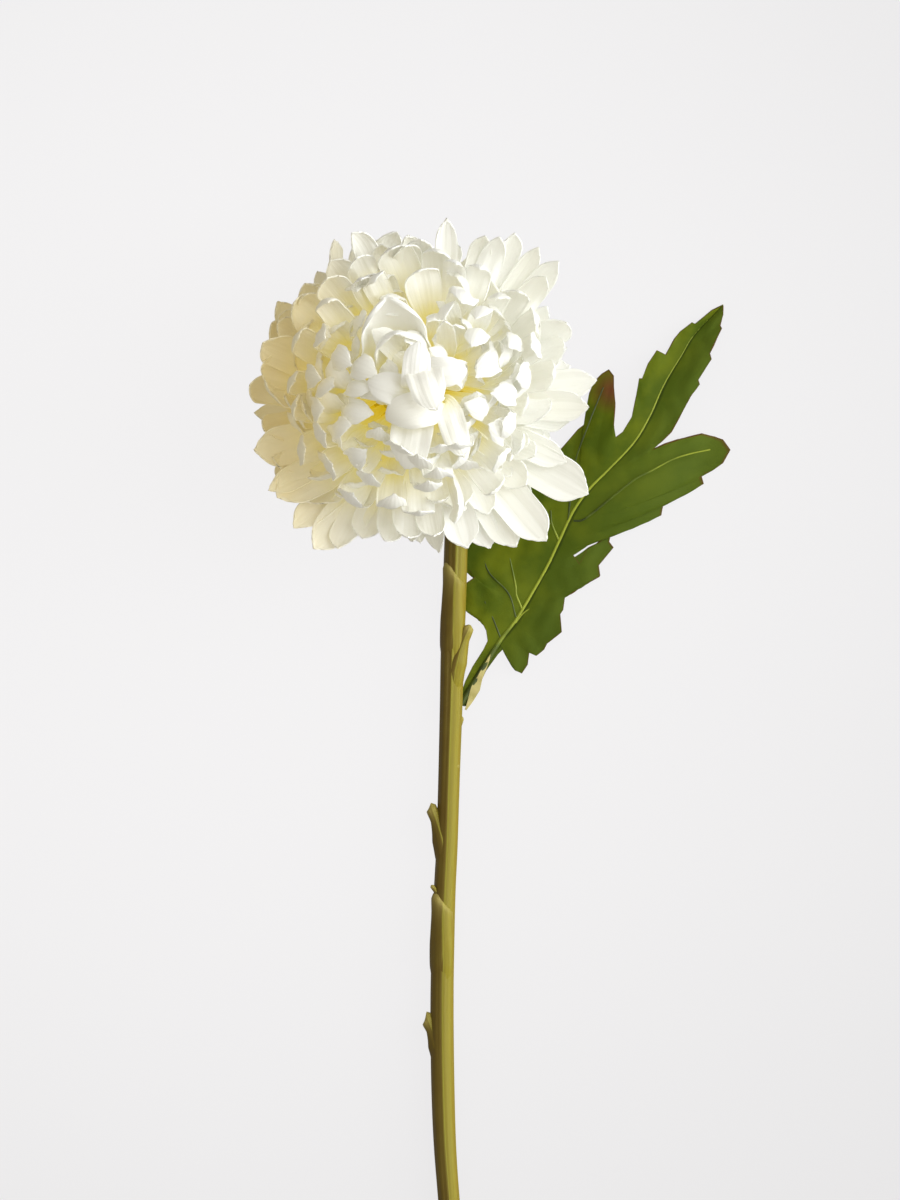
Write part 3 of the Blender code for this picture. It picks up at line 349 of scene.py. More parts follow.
def floret_curves(base, tip, apex, hook, roll, half_width, cup, curl):
    """Florets from their bases and tips, in the form the petals are drawn from.

    The middle line of each is a cubic curve. It leaves the core bent away from the apex and reaches
    its tip bent towards it, by the share hook. The hollow faces the apex, turned by roll.
    """
    length = np.linalg.norm(tip - base, axis=1, keepdims=True)
    out = unit(tip - base)
    to_apex = unit(apex - (out @ apex)[:, None] * out + 1e-6)
    leave = unit(out + unit(base - CORE_CENTRE) - LEAVE_BACK * to_apex)
    arrive = unit(out + hook[:, None] * to_apex)
    pull = CURVE_PULL * length
    controls = np.stack([base, base + pull * leave, tip - pull * arrive, tip], axis=1)
    side = np.cross(out, to_apex)
    face = to_apex * np.cos(roll)[:, None] + side * np.sin(roll)[:, None]
    return controls, face, half_width, cup, curl


def ball_florets(count, seed, layer, widths, first_turn):
    """Florets whose tips are spread evenly over a ball, a share `layer` of the bloom's own."""
    rng = np.random.default_rng(seed)
    k = np.arange(count)
    polar = np.arccos(1.0 - (1.0 - math.cos(LOWEST_FLORET)) * (k + 0.5) / count)
    polar = np.clip(polar + rng.normal(0.0, TILT_SPREAD, count), 0.03, LOWEST_FLORET)
    stray = rng.normal(0.0, TURN_SPREAD, count) / np.maximum(np.sin(polar), 0.3)
    turn = first_turn + GOLDEN_ANGLE * k + stray
    reach = BLOOM_RADIUS * layer * (1.0 + rng.uniform(*LENGTHS, count))
    reach = np.where(k % 3 == 1, reach * rng.uniform(*SHORT_LENGTHS, count), reach)
    half_width = rng.uniform(*widths, count)
    roll = rng.normal(0.0, ROLL_SPREAD, count)
    cup = rng.uniform(*CUPS, count)
    low = np.clip((np.degrees(polar) - OPEN_FROM) / OPEN_OVER, 0.0, 1.0)
    hook = rng.uniform(*HOOKS, count) * (1.0 - low) - 0.1 * low
    curl = rng.uniform(*CURLS, count) * (1.0 - 0.8 * low)
    way = sphere_direction(polar, turn)
    room = (BLOOM_CENTRE[2] - TIP_FLOOR) / np.maximum(-way[:, 2], 1e-6)
    tip = BLOOM_CENTRE + np.minimum(reach, room)[:, None] * way
    base = CORE_CENTRE + BASE_RADIUS * sphere_direction(polar * (LOWEST_BASE / LOWEST_FLORET), turn)
    return floret_curves(base, tip, AXIS, hook, roll, half_width, cup, curl)


# %% [markdown]
# The petals that the photo shows are placed one by one. Each row holds the tip's place in the
# photo, how far from the ball's centre it stands as a share of the ball's radius, the place in the
# photo that the petal comes from, how far forward its base sits (1 in front, 0 at the side), half
# its width in millimetres, its cup, and how far its tip turns in, in radians.
#
# At the heart the photo shows petals from behind: they rise from the core and fold over it. A rule
# that only opens outwards can't make them, so each of these also says which way its tip points.

# %% Florets placed one by one
PLACED_FLORETS = (
    # The large spoon, the smaller one inside it, and the lobes below them.
    (387, 298, 0.97, 405, 394, 1.0, 15.5, 1.5, 0.35),
    (393, 328, 0.97, 408, 396, 1.0, 10.0, 1.3, 0.9),
    (460, 460, 1.00, 445, 400, 1.0, 5.0, 1.1, 0.5),
    (443, 462, 0.96, 430, 405, 1.0, 4.5, 1.0, 0.7),
    (398, 462, 0.95, 408, 405, 1.0, 5.5, 0.9, 0.6),
    (418, 476, 1.00, 415, 410, 1.0, 5.5, 1.0, 1.0),
    (440, 487, 1.00, 425, 410, 1.0, 5.0, 1.0, 1.0),
    # The front below the middle, whose tips turn up to the viewer.
    (430, 502, 1.02, 420, 420, 1.0, 5.5, 1.0, 1.1),
    (420, 528, 1.00, 415, 425, 0.9, 5.5, 1.0, 1.2),
    (434, 541, 1.00, 418, 430, 0.6, 5.0, 0.9, 0.6),
    (362, 541, 1.00, 405, 430, 0.7, 6.0, 1.0, 0.9),
    (384, 545, 1.00, 408, 430, 0.6, 5.5, 0.9, 0.8),
    (406, 544, 1.00, 412, 430, 0.6, 5.5, 0.9, 0.8),
    (342, 512, 1.00, 392, 430, 0.9, 5.5, 1.1, 1.3),
    (392, 517, 1.00, 402, 430, 0.9, 5.5, 1.1, 1.3),
    (349, 466, 0.96, 395, 425, 1.0, 4.5, 1.3, 1.3),
    (364, 491, 0.93, 397, 425, 1.0, 5.0, 1.0, 1.0),
    # The left side.
    (329, 427, 0.96, 393, 425, 1.0, 5.0, 1.2, 1.1),
    (351, 411, 0.93, 385, 415, 1.0, 5.0, 1.2, 1.4),
    (315, 384, 0.98, 380, 400, 1.0, 5.0, 1.1, 0.9),
    (306, 412, 0.97, 380, 405, 1.0, 4.5, 1.1, 0.9),
    (301, 376, 1.00, 378, 395, 0.9, 4.5, 1.1, 1.0),
    (278, 380, 1.02, 375, 395, 0.7, 4.5, 1.1, 0.8),
    (309, 441, 1.00, 385, 415, 0.9, 5.0, 1.0, 0.8),
    (374, 391, 0.90, 395, 395, 1.0, 4.5, 1.3, 1.5),
    (352, 386, 0.93, 385, 395, 1.0, 4.5, 1.1, 1.1),
    (357, 367, 0.95, 395, 385, 1.0, 5.5, 1.2, 1.3),
    (331, 358, 0.97, 380, 380, 1.0, 5.5, 1.3, 1.1),
    (384, 373, 0.88, 400, 385, 1.0, 4.5, 1.1, 1.0),
    (253, 368, 1.00, 370, 390, 0.3, 5.5, 1.0, 0.8),
    (289, 456, 1.02, 385, 415, 0.6, 5.5, 1.0, 1.0),
    (320, 475, 0.98, 388, 420, 0.8, 5.0, 1.0, 0.8),
    (243, 385, 1.04, 372, 398, 0.3, 6.0, 1.1, 0.9),
    (259, 432, 0.98, 376, 410, 0.4, 6.0, 1.0, 0.9),
    (281, 408, 1.00, 378, 402, 0.8, 5.0, 1.1, 0.8),
    # Long petals at the lower left.
    (256, 451, 1.04, 385, 415, 0.3, 7.5, 0.9, 0.3),
    (268, 492, 1.11, 385, 420, -0.1, 4.5, 0.8, 0.2),
    (278, 498, 1.08, 390, 425, 0.3, 7.5, 0.9, 0.3),
    (294, 529, 1.14, 395, 430, 0.0, 5.0, 0.8, 0.3),
    (314, 549, 1.17, 400, 430, 0.1, 6.5, 0.8, 0.3),
    (338, 549, 1.10, 402, 430, 0.3, 5.5, 0.9, 0.5),
    # The upper left.
    (369, 271, 0.97, 405, 350, 1.0, 4.5, 1.0, 0.7),
    (355, 270, 1.00, 395, 350, 0.9, 4.5, 1.3, 0.6),
    (321, 274, 1.00, 385, 350, 0.7, 6.5, 0.8, 0.5),
    (319, 295, 1.00, 388, 372, 0.9, 5.5, 1.2, 0.8),
    (311, 333, 1.00, 380, 372, 0.9, 4.5, 1.1, 0.6),
    (286, 334, 1.00, 375, 380, 0.7, 5.5, 1.1, 0.7),
    (260, 343, 1.00, 373, 385, 0.3, 6.5, 0.8, 0.4),
    (272, 321, 0.97, 375, 375, 0.2, 4.5, 0.9, 0.6),
    (287, 301, 1.00, 378, 370, 0.5, 6.0, 0.9, 0.6),
    (299, 290, 0.98, 380, 365, 0.2, 4.5, 0.9, 0.5),
    (328, 259, 0.98, 395, 350, 0.3, 5.5, 0.9, 0.4),
    (352, 250, 1.00, 400, 345, 0.3, 5.0, 0.9, 0.6),
    # The top.
    (387, 238, 1.00, 424, 348, 0.6, 7.0, 0.9, 0.9),
    (402, 237, 0.98, 424, 345, 0.4, 5.0, 0.9, 0.8),
    (417, 262, 0.94, 431, 348, 1.0, 6.5, 0.8, 0.6),
    (420, 232, 1.00, 426, 345, 0.4, 5.5, 0.9, 0.7),
    (437, 239, 1.00, 438, 345, 0.7, 6.5, 1.2, 1.0),
    (448, 219, 1.07, 440, 345, 0.1, 3.8, 0.6, 0.1),
    (470, 288, 0.98, 438, 350, 1.0, 5.5, 1.2, 0.9),
    (458, 250, 1.00, 446, 345, 0.8, 4.8, 1.3, 1.0),
    (484, 258, 1.00, 455, 348, 0.8, 5.0, 1.2, 0.9),
    (486, 235, 1.05, 456, 345, 0.4, 4.5, 1.1, 0.6),
    (501, 235, 1.10, 460, 345, 0.2, 4.0, 1.0, 0.5),
    (515, 233, 1.15, 465, 350, 0.2, 4.8, 1.0, 0.5),
    (539, 248, 1.17, 470, 355, 0.1, 3.8, 0.9, 0.4),
    # The right side.
    (446, 319, 0.88, 440, 380, 1.0, 4.0, 1.4, 0.3),
    (456, 320, 0.86, 450, 372, 1.0, 3.2, 1.3, 0.3),
    (441, 304, 0.91, 452, 365, 1.0, 4.5, 0.9, 0.8),
    (479, 329, 0.93, 465, 378, 1.0, 4.8, 1.2, 1.0),
    (493, 363, 0.95, 465, 390, 1.0, 4.5, 1.3, 1.3),
    (484, 303, 0.95, 462, 360, 1.0, 4.5, 1.2, 1.0),
    (506, 286, 1.00, 465, 355, 0.9, 4.5, 1.2, 1.0),
    (527, 283, 1.06, 470, 360, 0.6, 4.8, 1.1, 0.8),
    (548, 275, 1.10, 472, 362, 0.3, 4.5, 1.0, 0.6),
    (559, 262, 1.20, 472, 362, 0.1, 4.5, 0.9, 0.4),
    (525, 334, 1.00, 475, 388, 0.9, 5.0, 1.3, 1.2),
    (547, 313, 1.06, 475, 370, 0.6, 5.0, 1.1, 0.9),
    (548, 341, 1.04, 475, 380, 0.7, 4.8, 1.1, 1.0),
    (572, 320, 1.10, 475, 375, 0.2, 5.5, 0.9, 0.6),
    (572, 347, 1.05, 475, 382, 0.3, 5.0, 0.9, 0.7),
    (537, 376, 0.99, 475, 390, 0.8, 5.0, 1.2, 1.1),
    (565, 373, 1.02, 475, 390, 0.4, 5.0, 1.0, 0.8),
    (516, 394, 0.97, 470, 396, 0.9, 5.2, 1.3, 1.5),
    (520, 433, 0.99, 472, 402, 0.9, 5.5, 1.2, 0.9),
    (485, 413, 0.92, 450, 400, 1.0, 4.5, 1.2, 1.3),
    (508, 436, 0.96, 455, 410, 1.0, 5.0, 1.1, 1.1),
    (511, 470, 0.98, 455, 420, 0.9, 5.0, 1.0, 0.9),
    # Long smooth petals at the right and the lower right, in front of the stem.
    (589, 408, 1.12, 460, 400, -0.2, 5.2, 0.45, 0.0),
    (597, 381, 1.15, 460, 395, -0.4, 5.2, 0.45, 0.0),
    (566, 463, 1.08, 460, 415, 0.3, 5.0, 0.6, 0.1),
    (588, 495, 1.30, 455, 418, 0.1, 7.5, 0.5, 0.0),
    (546, 541, 1.28, 448, 426, 0.2, 6.8, 0.5, 0.0),
    (516, 547, 1.19, 442, 430, 0.3, 6.2, 0.5, 0.1),
    (490, 548, 1.11, 436, 432, 0.4, 5.8, 0.5, 0.1),
    (467, 548, 1.06, 432, 432, 0.5, 6.2, 0.5, 0.1),
)
PLACED_SPACING = 14.5
PLACED_HOOK = 0.45

# Petals that fold over the middle and show their backs: tip in the photo and its height above the
# table, base in the photo, the way the tip points, the way the hollow faces, half width, cup, curl.
FOLDED_FLORETS = (
    (418, 348, 99.0, 414, 393, (0.05, 1.0, -0.1), (0.0, -0.1, -1.0), 4.8, 0.8, 1.5),
    (463, 377, 98.0, 420, 379, (1.0, -0.05, -0.1), (-0.1, 0.0, -1.0), 5.2, 0.8, 1.5),
    (431, 409, 101.0, 422, 377, (0.2, -1.0, -0.1), (0.0, 0.1, -1.0), 6.0, 0.8, 1.6),
    (389, 420, 96.0, 446, 405, (-1.0, -0.25, -0.1), (0.1, 0.0, -1.0), 6.4, 0.8, 1.3),
    (461, 458, 91.0, 444, 401, (0.25, -1.0, -0.1), (0.0, 0.2, -1.0), 4.4, 0.8, 1.0),
    (372, 388, 94.0, 410, 399, (-1.0, 0.2, -0.1), (0.1, 0.0, -1.0), 5.0, 0.8, 1.3),
    (408, 470, 89.0, 418, 405, (-0.1, -1.0, -0.2), (0.0, 0.2, -1.0), 6.6, 0.7, 0.8),
)
FOLDED_RISE = 0.75
FOLDED_PULL = 0.45
BASE_SPREAD = 14.0
HEART_WAY = unit(np.array([0.02, -0.02, 1.0]))


def placed_florets():
    """The listed florets, in the same form as those of the ball."""
    rows = np.array(PLACED_FLORETS, float)
    aside = from_photo(rows[:, 0:2]) - BLOOM_CENTRE[:2]
    reach = BLOOM_RADIUS * rows[:, 2]
    ahead = np.sqrt(np.clip(reach**2 - np.sum(aside**2, axis=1), 0.0, None))
    tip = BLOOM_CENTRE + np.column_stack([aside, ahead])
    root = from_photo(rows[:, 3:5]) - CORE_CENTRE[:2]
    root *= np.minimum(1.0, BASE_SPREAD / np.linalg.norm(root, axis=1))[:, None]
    front = np.sqrt(BASE_RADIUS**2 - np.sum(root**2, axis=1)) * rows[:, 5]
    base = CORE_CENTRE + BASE_RADIUS * unit(np.column_stack([root, front]))
    half_width, cup, curl = rows[:, 6:9].T
    hook = PLACED_HOOK * curl
    roll = np.zeros(len(rows))
    return floret_curves(base, tip, HEART_WAY, hook, roll, half_width, cup, curl)


def folded_florets():
    """The petals that fold over the middle: they rise from the core, then bend over it."""
    rows = np.array([np.hstack(row) for row in FOLDED_FLORETS])
    tip = np.column_stack([from_photo(rows[:, 0:2]), rows[:, 2]])
    root = from_photo(rows[:, 3:5]) - CORE_CENTRE[:2]
    front = np.sqrt(BASE_RADIUS**2 - np.sum(root**2, axis=1))
    base = CORE_CENTRE + np.column_stack([root, front])
    arrive = unit(rows[:, 5:8])
    face = unit(rows[:, 8:11])
    half_width, cup, curl = rows[:, 11:14].T
    length = np.linalg.norm(tip - base, axis=1, keepdims=True)
    rise = np.array([0.0, 0.0, FOLDED_RISE]) * length
    controls = np.stack([base, base + rise, tip - FOLDED_PULL * length * arrive, tip], axis=1)
    return controls, face, half_width, cup, curl


def clear_of(florets, others, spacing):
    """The florets whose tips are further than spacing from the others', and clear of the stem."""
    tips = florets[0][:, 3]
    apart = np.linalg.norm(tips[:, None] - others[0][None, :, 3], axis=2).min(axis=1)
    off_stem = np.linalg.norm(tips[:, None] - stem_line(4.0)[None], axis=2).min(axis=1)
    keep = (apart > spacing) & (off_stem > STEM_RADIUS + florets[2])
    return tuple(part[keep] for part in florets)


placed = tuple(np.concatenate(parts) for parts in zip(placed_florets(), folded_florets()))
outer = clear_of(ball_florets(FLORETS, SEED, 1.0, HALF_WIDTHS, 0.0), placed, PLACED_SPACING)
print(len(placed[0]), "florets placed by hand and", len(outer[0]), "by the golden angle")

# %% [markdown]
# Between the outer petals the photo shows the tips of shorter ones, down to a deep yellow heart.
# They are too many for the solid, so they are added here, by the same rule on smaller balls.

# %% Inner florets
# How many, the seed, the share of the ball, the half widths, the first turn, and the spacing.
INNER_BALLS = (
    (120, 6, 0.95, (4.4, 6.0), 0.7, 8.5),
    (150, 7, 0.84, (4.0, 5.6), 1.3, 7.0),
    (80, 8, 0.68, (3.6, 5.0), 2.6, 6.0),
)
inner = [clear_of(ball_florets(*rule), placed, spacing) for *rule, spacing in INNER_BALLS]
inner = tuple(np.concatenate(parts) for parts in zip(*inner))
print(len(inner[0]), "shorter florets between them")

# %% [markdown]
# ## The shape of one petal
#
# A petal is a function of u, from its base to its tip, and v, from its left edge to its right. The
# middle line is the curve above up to two thirds, then an arc that turns in towards the apex.
# Across it, the petal is an arc too: rolled at its base, flatter in the middle and cupped again at
# the tip, so the end is a spoon. It has a few lengthwise flutes and wavy rims that bend back. The
# cloth's end is a little ragged: the tip's edge steps in and out by less than a millimetre.
#
# Cloth petals hang looser than the solids' plain ones: they curl and cup more, and are drawn a
# little longer to make up for it. The straight petals and the wide spoons keep their own form.

# %% Petal surface
PRESS_HEIGHT = 2.2
PRESS_REST = 0.35
STEM_CLEARANCE = 1.0
CUP_CLEAR_RADIUS = 16.0
CUP_CLEAR_DROP = 14.5
CUP_CLEAR_DEPTH = 12.0
NEAR_STEM = 8.0
CURL_START = 0.66
CLOTH_CURL = 0.5
CLOTH_CUP = 0.2
CLOTH_LENGTH = 0.07
OPEN_WIDTH = 9.0
FLUTE_DEPTH = 0.16
LENGTH_WAVE = 0.5
RIM_WAVE = 0.7
RIM_IN = 0.7
ROUND_BACK = 0.035
FRAY = 0.15


def bezier(controls, u):
    """Points at u on each cubic curve, and the directions there."""
    a, b, c, d = (controls[:, k, None] for k in range(4))
    u = u[None, :, None]
    point = (1 - u) ** 3 * a + 3 * (1 - u) ** 2 * u * b + 3 * (1 - u) * u**2 * c + u**3 * d
    along = (1 - u) ** 2 * (b - a) + 2 * (1 - u) * u * (c - b) + u**2 * (d - c)
    return point, unit(along)


def turned(first, second, angle):
    """Two directions square to each other, turned by an angle from the first to the second."""
    return (
        first * np.cos(angle) + second * np.sin(angle),
        second * np.cos(angle) - first * np.sin(angle),
    )


def middle_line(controls, face, curl, u):
    """Points on each middle line with its curled end, and the ways along it and into the hollow."""
    point, along = bezier(controls, np.minimum(u, CURL_START))
    hollow = unit(face[:, None] - np.sum(face[:, None] * along, axis=2, keepdims=True) * along)
    length = np.linalg.norm(controls[:, 3] - controls[:, 0], axis=1)
    end = (1.04 * length * (1.0 - CURL_START))[:, None, None]
    total = np.maximum(curl, 0.02)[:, None, None]
    turn = total * np.clip((u - CURL_START) / (1.0 - CURL_START), 0.0, 1.0)[None, :, None]
    point = point + end / total * (np.sin(turn) * along + (1.0 - np.cos(turn)) * hollow)
    return point, *turned(along, hollow, turn)


def floret_width(u):
    """Share of the full width: narrow at the base, widest past the middle, round at the tip."""
    rise = smooth(u, 0.02, 0.66)
    round_end = np.sqrt(1.0 - np.clip((u - 0.78) / 0.2205, 0.0, 1.0) ** 2.6)
    return (0.34 + 0.66 * rise) * round_end


def pressed(points):
    """Points near the table brought down on it smoothly, and none left below it."""
    soft = PRESS_HEIGHT - PRESS_REST
    above = points[..., 2] - PRESS_REST
    eased = (np.clip(above, -soft, soft) + soft) ** 2 / (4 * soft)
    height = np.where(above > soft, above, eased) + PRESS_REST
    return np.concatenate([points[..., :2], height[..., None]], axis=-1)


def kept_clear(points, line):
    """Points moved out sideways from the stem and from under the cup of bracts."""
    from_core = points - CORE_CENTRE
    axial = from_core @ AXIS
    sideways = from_core - axial[..., None] * AXIS
    lateral = np.linalg.norm(sideways, axis=-1)
    beside_cup = (axial < -CUP_CLEAR_DROP) & (axial > -CORE_RADIUS - CUP_CLEAR_DEPTH)
    near_cup = beside_cup & (lateral < CUP_CLEAR_RADIUS)
    outward = np.where(near_cup, CUP_CLEAR_RADIUS - lateral, 0.0)
    points = points + outward[..., None] * unit(sideways)
    moved = points.reshape(-1, 3).copy()
    low_down = np.all(moved[:, 1:] < STEM_TOP[1:] + NEAR_STEM, axis=1)
    close = np.flatnonzero(low_down)
    gap = moved[close, None] - line[None]
    distance = np.linalg.norm(gap, axis=-1)
    nearest = np.argmin(distance, axis=1)
    away = gap[np.arange(len(close)), nearest]
    short = np.clip(STEM_RADIUS + STEM_CLEARANCE - distance.min(axis=1), 0.0, None)
    moved[close] += short[:, None] * unit(away)
    return moved.reshape(points.shape)


def petal_surface(florets, seed, rows, columns):
    """Middle surfaces of petals, (petals, rows, columns, 3), with their attributes and UV map.

    Each point is the middle line's, moved across by reach / arc * sin(arc * v) and into the hollow
    by reach / arc * (1 - cos(arc * v)), where reach is half the width there. Flutes and waves add
    to the second, and the ragged end draws points back along the petal.
    """
    controls, face, half_width, cup, curl = florets
    count = len(controls)
    rng = np.random.default_rng(seed)
    twist, flute, wave, back, start, ragged, aslant = rng.uniform(-1.0, 1.0, (7, count, 1, 1))
    loose = smooth(curl, 0.1, 0.5) * smooth(OPEN_WIDTH - half_width, 0.0, 1.0)
    curl = curl + CLOTH_CURL * loose
    cup = cup * (1.0 + CLOTH_CUP * loose)
    base = controls[:, :1]
    controls = base + (controls - base) * (1.0 + CLOTH_LENGTH * loose)[:, None, None]
    u = 1.0 - (1.0 - np.linspace(0.0, 1.0, rows)) ** 1.6
    v = np.linspace(-1.0, 1.0, columns)[None, None]
    middle, along, hollow = middle_line(controls, face, curl, u)
    side = np.cross(along, hollow)
    lean = 0.5 * twist[..., 0] * (u - 0.4) + 0.35 * aslant[..., 0]
    lean = (lean * loose[:, None])[..., None]
    hollow, side = turned(hollow, side, lean)
    length = np.linalg.norm(controls[:, 3] - controls[:, 0], axis=1)[:, None, None]
    u = u[None, :, None]
    hangs = loose[:, None, None]
    arc = 1.1 - 0.4 * smooth(u, 0.0, 0.4) + 0.25 * smooth(u, 0.5, 0.7)
    arc = cup[:, None, None] * (arc - 0.3 * hangs * smooth(u, 0.75, 1.0))
    near_tip = smooth(u, 0.70, 0.92)
    share = floret_width(u)
    reach = half_width[:, None, None] * share
    across = reach / arc * np.sin(arc * v)
    lift = reach / arc * (1.0 - np.cos(arc * v))
    straight = np.clip(1.2 - curl, 0.2, 1.2)[:, None, None]
    flutes = straight * np.sin(3.0 * math.pi * v + 3.0 * flute) * smooth(u, 0.15, 0.5)
    lift = lift + FLUTE_DEPTH * share * flutes
    lift = lift + LENGTH_WAVE * share * np.sin(5.0 * u + 5.0 * ragged) * smooth(u, 0.2, 0.6)
    wave = (0.5 + wave) * np.sin(7.0 * u + 4.0 * start + 1.5 * v) * smooth(u, 0.3, 0.7)
    lift = lift + RIM_WAVE * share * wave * np.abs(v) ** 3 * (1.0 - 0.6 * near_tip)
    rim = share * smooth(np.abs(v), 0.45, 1.0) * smooth(u, 0.25, 0.7) * (1.0 - 0.85 * near_tip)
    lift = lift - (2.0 + 0.9 * back) * rim * hangs + RIM_IN * rim * (1.0 - hangs)
    across = across + (0.8 + 0.4 * back) * rim * hangs * np.sign(v)
    frays = np.sin(11.0 * v + 9.0 * ragged) + 0.7 * np.sin(23.0 * v + 5.0 * start)
    draw_back = (ROUND_BACK * v**2 * length + FRAY * frays) * smooth(u, 0.82, 1.0)
    surface = (
        middle[:, :, None]
        + across[..., None] * side[:, :, None]
        + lift[..., None] * hollow[:, :, None]
        - draw_back[..., None] * along[:, :, None]
    )
    surface = kept_clear(pressed(surface), stem_line(1.5))
    shape = surface.shape[:3]
    attributes = {
        "along": np.broadcast_to(u, shape),
        "across": np.broadcast_to(v, shape),
        "draw": np.broadcast_to(0.5 + 0.5 * start, shape),
    }
    uv = np.stack([attributes["across"] * 0.5 + 0.5, attributes["along"]], axis=-1)
    return surface, attributes, uv


# %% [markdown]
# ## Shared effects
#
# Petals and stem are streaked along their length, and nearly everything is a little uneven in
# colour. The same nodes could be built again in each material. As node groups, each effect is
# made once, and a material only sets its own values.

# %% Node groups
def group(name, inputs, outputs):
    """A shader node group with float inputs and outputs, and its input and output nodes."""
    tree = bpy.data.node_groups.new(name, "ShaderNodeTree")
    for label, kind in inputs:
        tree.interface.new_socket(label, in_out="INPUT", socket_type=kind)
    for label, kind in outputs:
        tree.interface.new_socket(label, in_out="OUTPUT", socket_type=kind)
    return tree, tree.nodes.new("NodeGroupInput"), tree.nodes.new("NodeGroupOutput")


def feed(tree, socket, value):
    """Links another node's output to a socket, or sets the socket to a constant."""
    if hasattr(value, "links"):
        tree.links.new(value, socket)
    else:
        socket.default_value = value


def math_node(tree, operation, a, b=None, c=None):
    """A Math node with its operands, each a socket or a number."""
    node = tree.nodes.new("ShaderNodeMath")
    node.operation = operation
    for socket, value in zip(node.inputs, (a, b, c)):
        if value is not None:
            feed(tree, socket, value)
    return node.outputs[0]


def streak_group():
    """Lines along v of a UV map: noise stretched along the length, and fine waves across it."""
    tree, given, made = group(
        "lengthwise_streaks",
        (("Vector", "NodeSocketVector"), ("Lines", "NodeSocketFloat"), ("Draw", "NodeSocketFloat")),
        (("Streaks", "NodeSocketFloat"), ("Ribs", "NodeSocketFloat")),
    )
    apart = tree.nodes.new("ShaderNodeSeparateXYZ")
    tree.links.new(given.outputs["Vector"], apart.inputs[0])
    wide = math_node(tree, "MULTIPLY", apart.outputs["X"], given.outputs["Lines"])
    shifted = math_node(tree, "MULTIPLY_ADD", given.outputs["Draw"], 37.0, wide)
    together = tree.nodes.new("ShaderNodeCombineXYZ")
    tree.links.new(shifted, together.inputs["X"])
    tree.links.new(apart.outputs["Y"], together.inputs["Y"])
    noise = tree.nodes.new("ShaderNodeTexNoise")
    noise.inputs["Scale"].default_value = 1.0
    noise.inputs["Detail"].default_value = 3.0
    tree.links.new(together.outputs[0], noise.inputs["Vector"])
    bent = math_node(tree, "MULTIPLY_ADD", noise.outputs["Fac"], 3.0, shifted)
    wave = math_node(tree, "SINE", math_node(tree, "MULTIPLY", bent, 3.0))
    tree.links.new(noise.outputs["Fac"], made.inputs["Streaks"])
    tree.links.new(math_node(tree, "MULTIPLY_ADD", wave, 0.5, 0.5), made.inputs["Ribs"])
    return tree


def mottle_group():
    """Uneven patches in the object's own space, at two sizes."""
    tree, given, made = group(
        "mottle",
        (("Size mm", "NodeSocketFloat"),),
        (("Patches", "NodeSocketFloat"), ("Grain", "NodeSocketFloat")),
    )
    where = tree.nodes.new("ShaderNodeTexCoord")
    scale = math_node(tree, "DIVIDE", 1000.0, given.outputs["Size mm"])
    for label, times in (("Patches", 1.0), ("Grain", 9.0)):
        noise = tree.nodes.new("ShaderNodeTexNoise")
        noise.inputs["Detail"].default_value = 4.0
        tree.links.new(where.outputs["Object"], noise.inputs["Vector"])
        tree.links.new(math_node(tree, "MULTIPLY", scale, times), noise.inputs["Scale"])
        tree.links.new(noise.outputs["Fac"], made.inputs[label])
    return tree


STREAKS = streak_group()
MOTTLE = mottle_group()
print("node groups:", STREAKS.name, MOTTLE.name)


# %% Material helpers
def new_material(name, roughness):
    """A material with a Principled shader, and its node tree."""
    made = bpy.data.materials.new(name)
    made.use_nodes = True
    shader = made.node_tree.nodes["Principled BSDF"]
    shader.inputs["Roughness"].default_value = roughness
    return made, made.node_tree, shader


def use_group(tree, effect, **values):
    """A group node with its inputs set, each a socket or a number."""
    node = tree.nodes.new("ShaderNodeGroup")
    node.node_tree = effect
    for label, value in values.items():
        feed(tree, node.inputs[label.replace("_", " ")], value)
    return node


def attribute(tree, name):
    node = tree.nodes.new("ShaderNodeAttribute")
    node.attribute_name = name
    return node.outputs["Fac"]


def uv_of(tree):
    return tree.nodes.new("ShaderNodeTexCoord").outputs["UV"]


def object_place(tree):
    return tree.nodes.new("ShaderNodeTexCoord").outputs["Object"]


def distance_from(tree, point):
    """Distance of each place on the object from a fixed point, in metres."""
    node = tree.nodes.new("ShaderNodeVectorMath")
    node.operation = "DISTANCE"
    tree.links.new(object_place(tree), node.inputs[0])
    node.inputs[1].default_value = point
    return node.outputs["Value"]


def share_past(tree, value, start, over):
    """0 up to start, then rising to 1 over a distance, which is negative to rise the other way."""
    risen = math_node(tree, "MULTIPLY_ADD", value, 1.0 / over, -start / over)
    return math_node(tree, "MINIMUM", math_node(tree, "MAXIMUM", risen, 0.0), 1.0)


def ramp(tree, value, stops):
    """A colour ramp over value, from (place, linear colour) stops."""
    node = tree.nodes.new("ShaderNodeValToRGB")
    elements = node.color_ramp.elements
    while len(elements) < len(stops):
        elements.new(0.5)
    for element, (at, colour) in zip(elements, stops):
        element.position = at
        element.color = (*colour, 1.0)
    tree.links.new(value, node.inputs["Fac"])
    return node.outputs["Color"]


def mix(tree, share, first, second, blend="MIX"):
    """first mixed with second, each a colour socket or a linear colour."""
    node = tree.nodes.new("ShaderNodeMix")
    node.data_type = "RGBA"
    node.blend_type = blend
    for number, value in ((0, share), (6, first), (7, second)):
        if isinstance(value, tuple):
            value = (*value, 1.0)
        feed(tree, node.inputs[number], value)
    return node.outputs[2]


def bump(tree, shader, height, distance_mm, strength=1.0):
    """A Bump node that feeds the shader's Normal."""
    node = tree.nodes.new("ShaderNodeBump")
    node.inputs["Distance"].default_value = distance_mm * MM
    node.inputs["Strength"].default_value = strength
    tree.links.new(height, node.inputs["Height"])
    tree.links.new(node.outputs["Normal"], shader.inputs["Normal"])
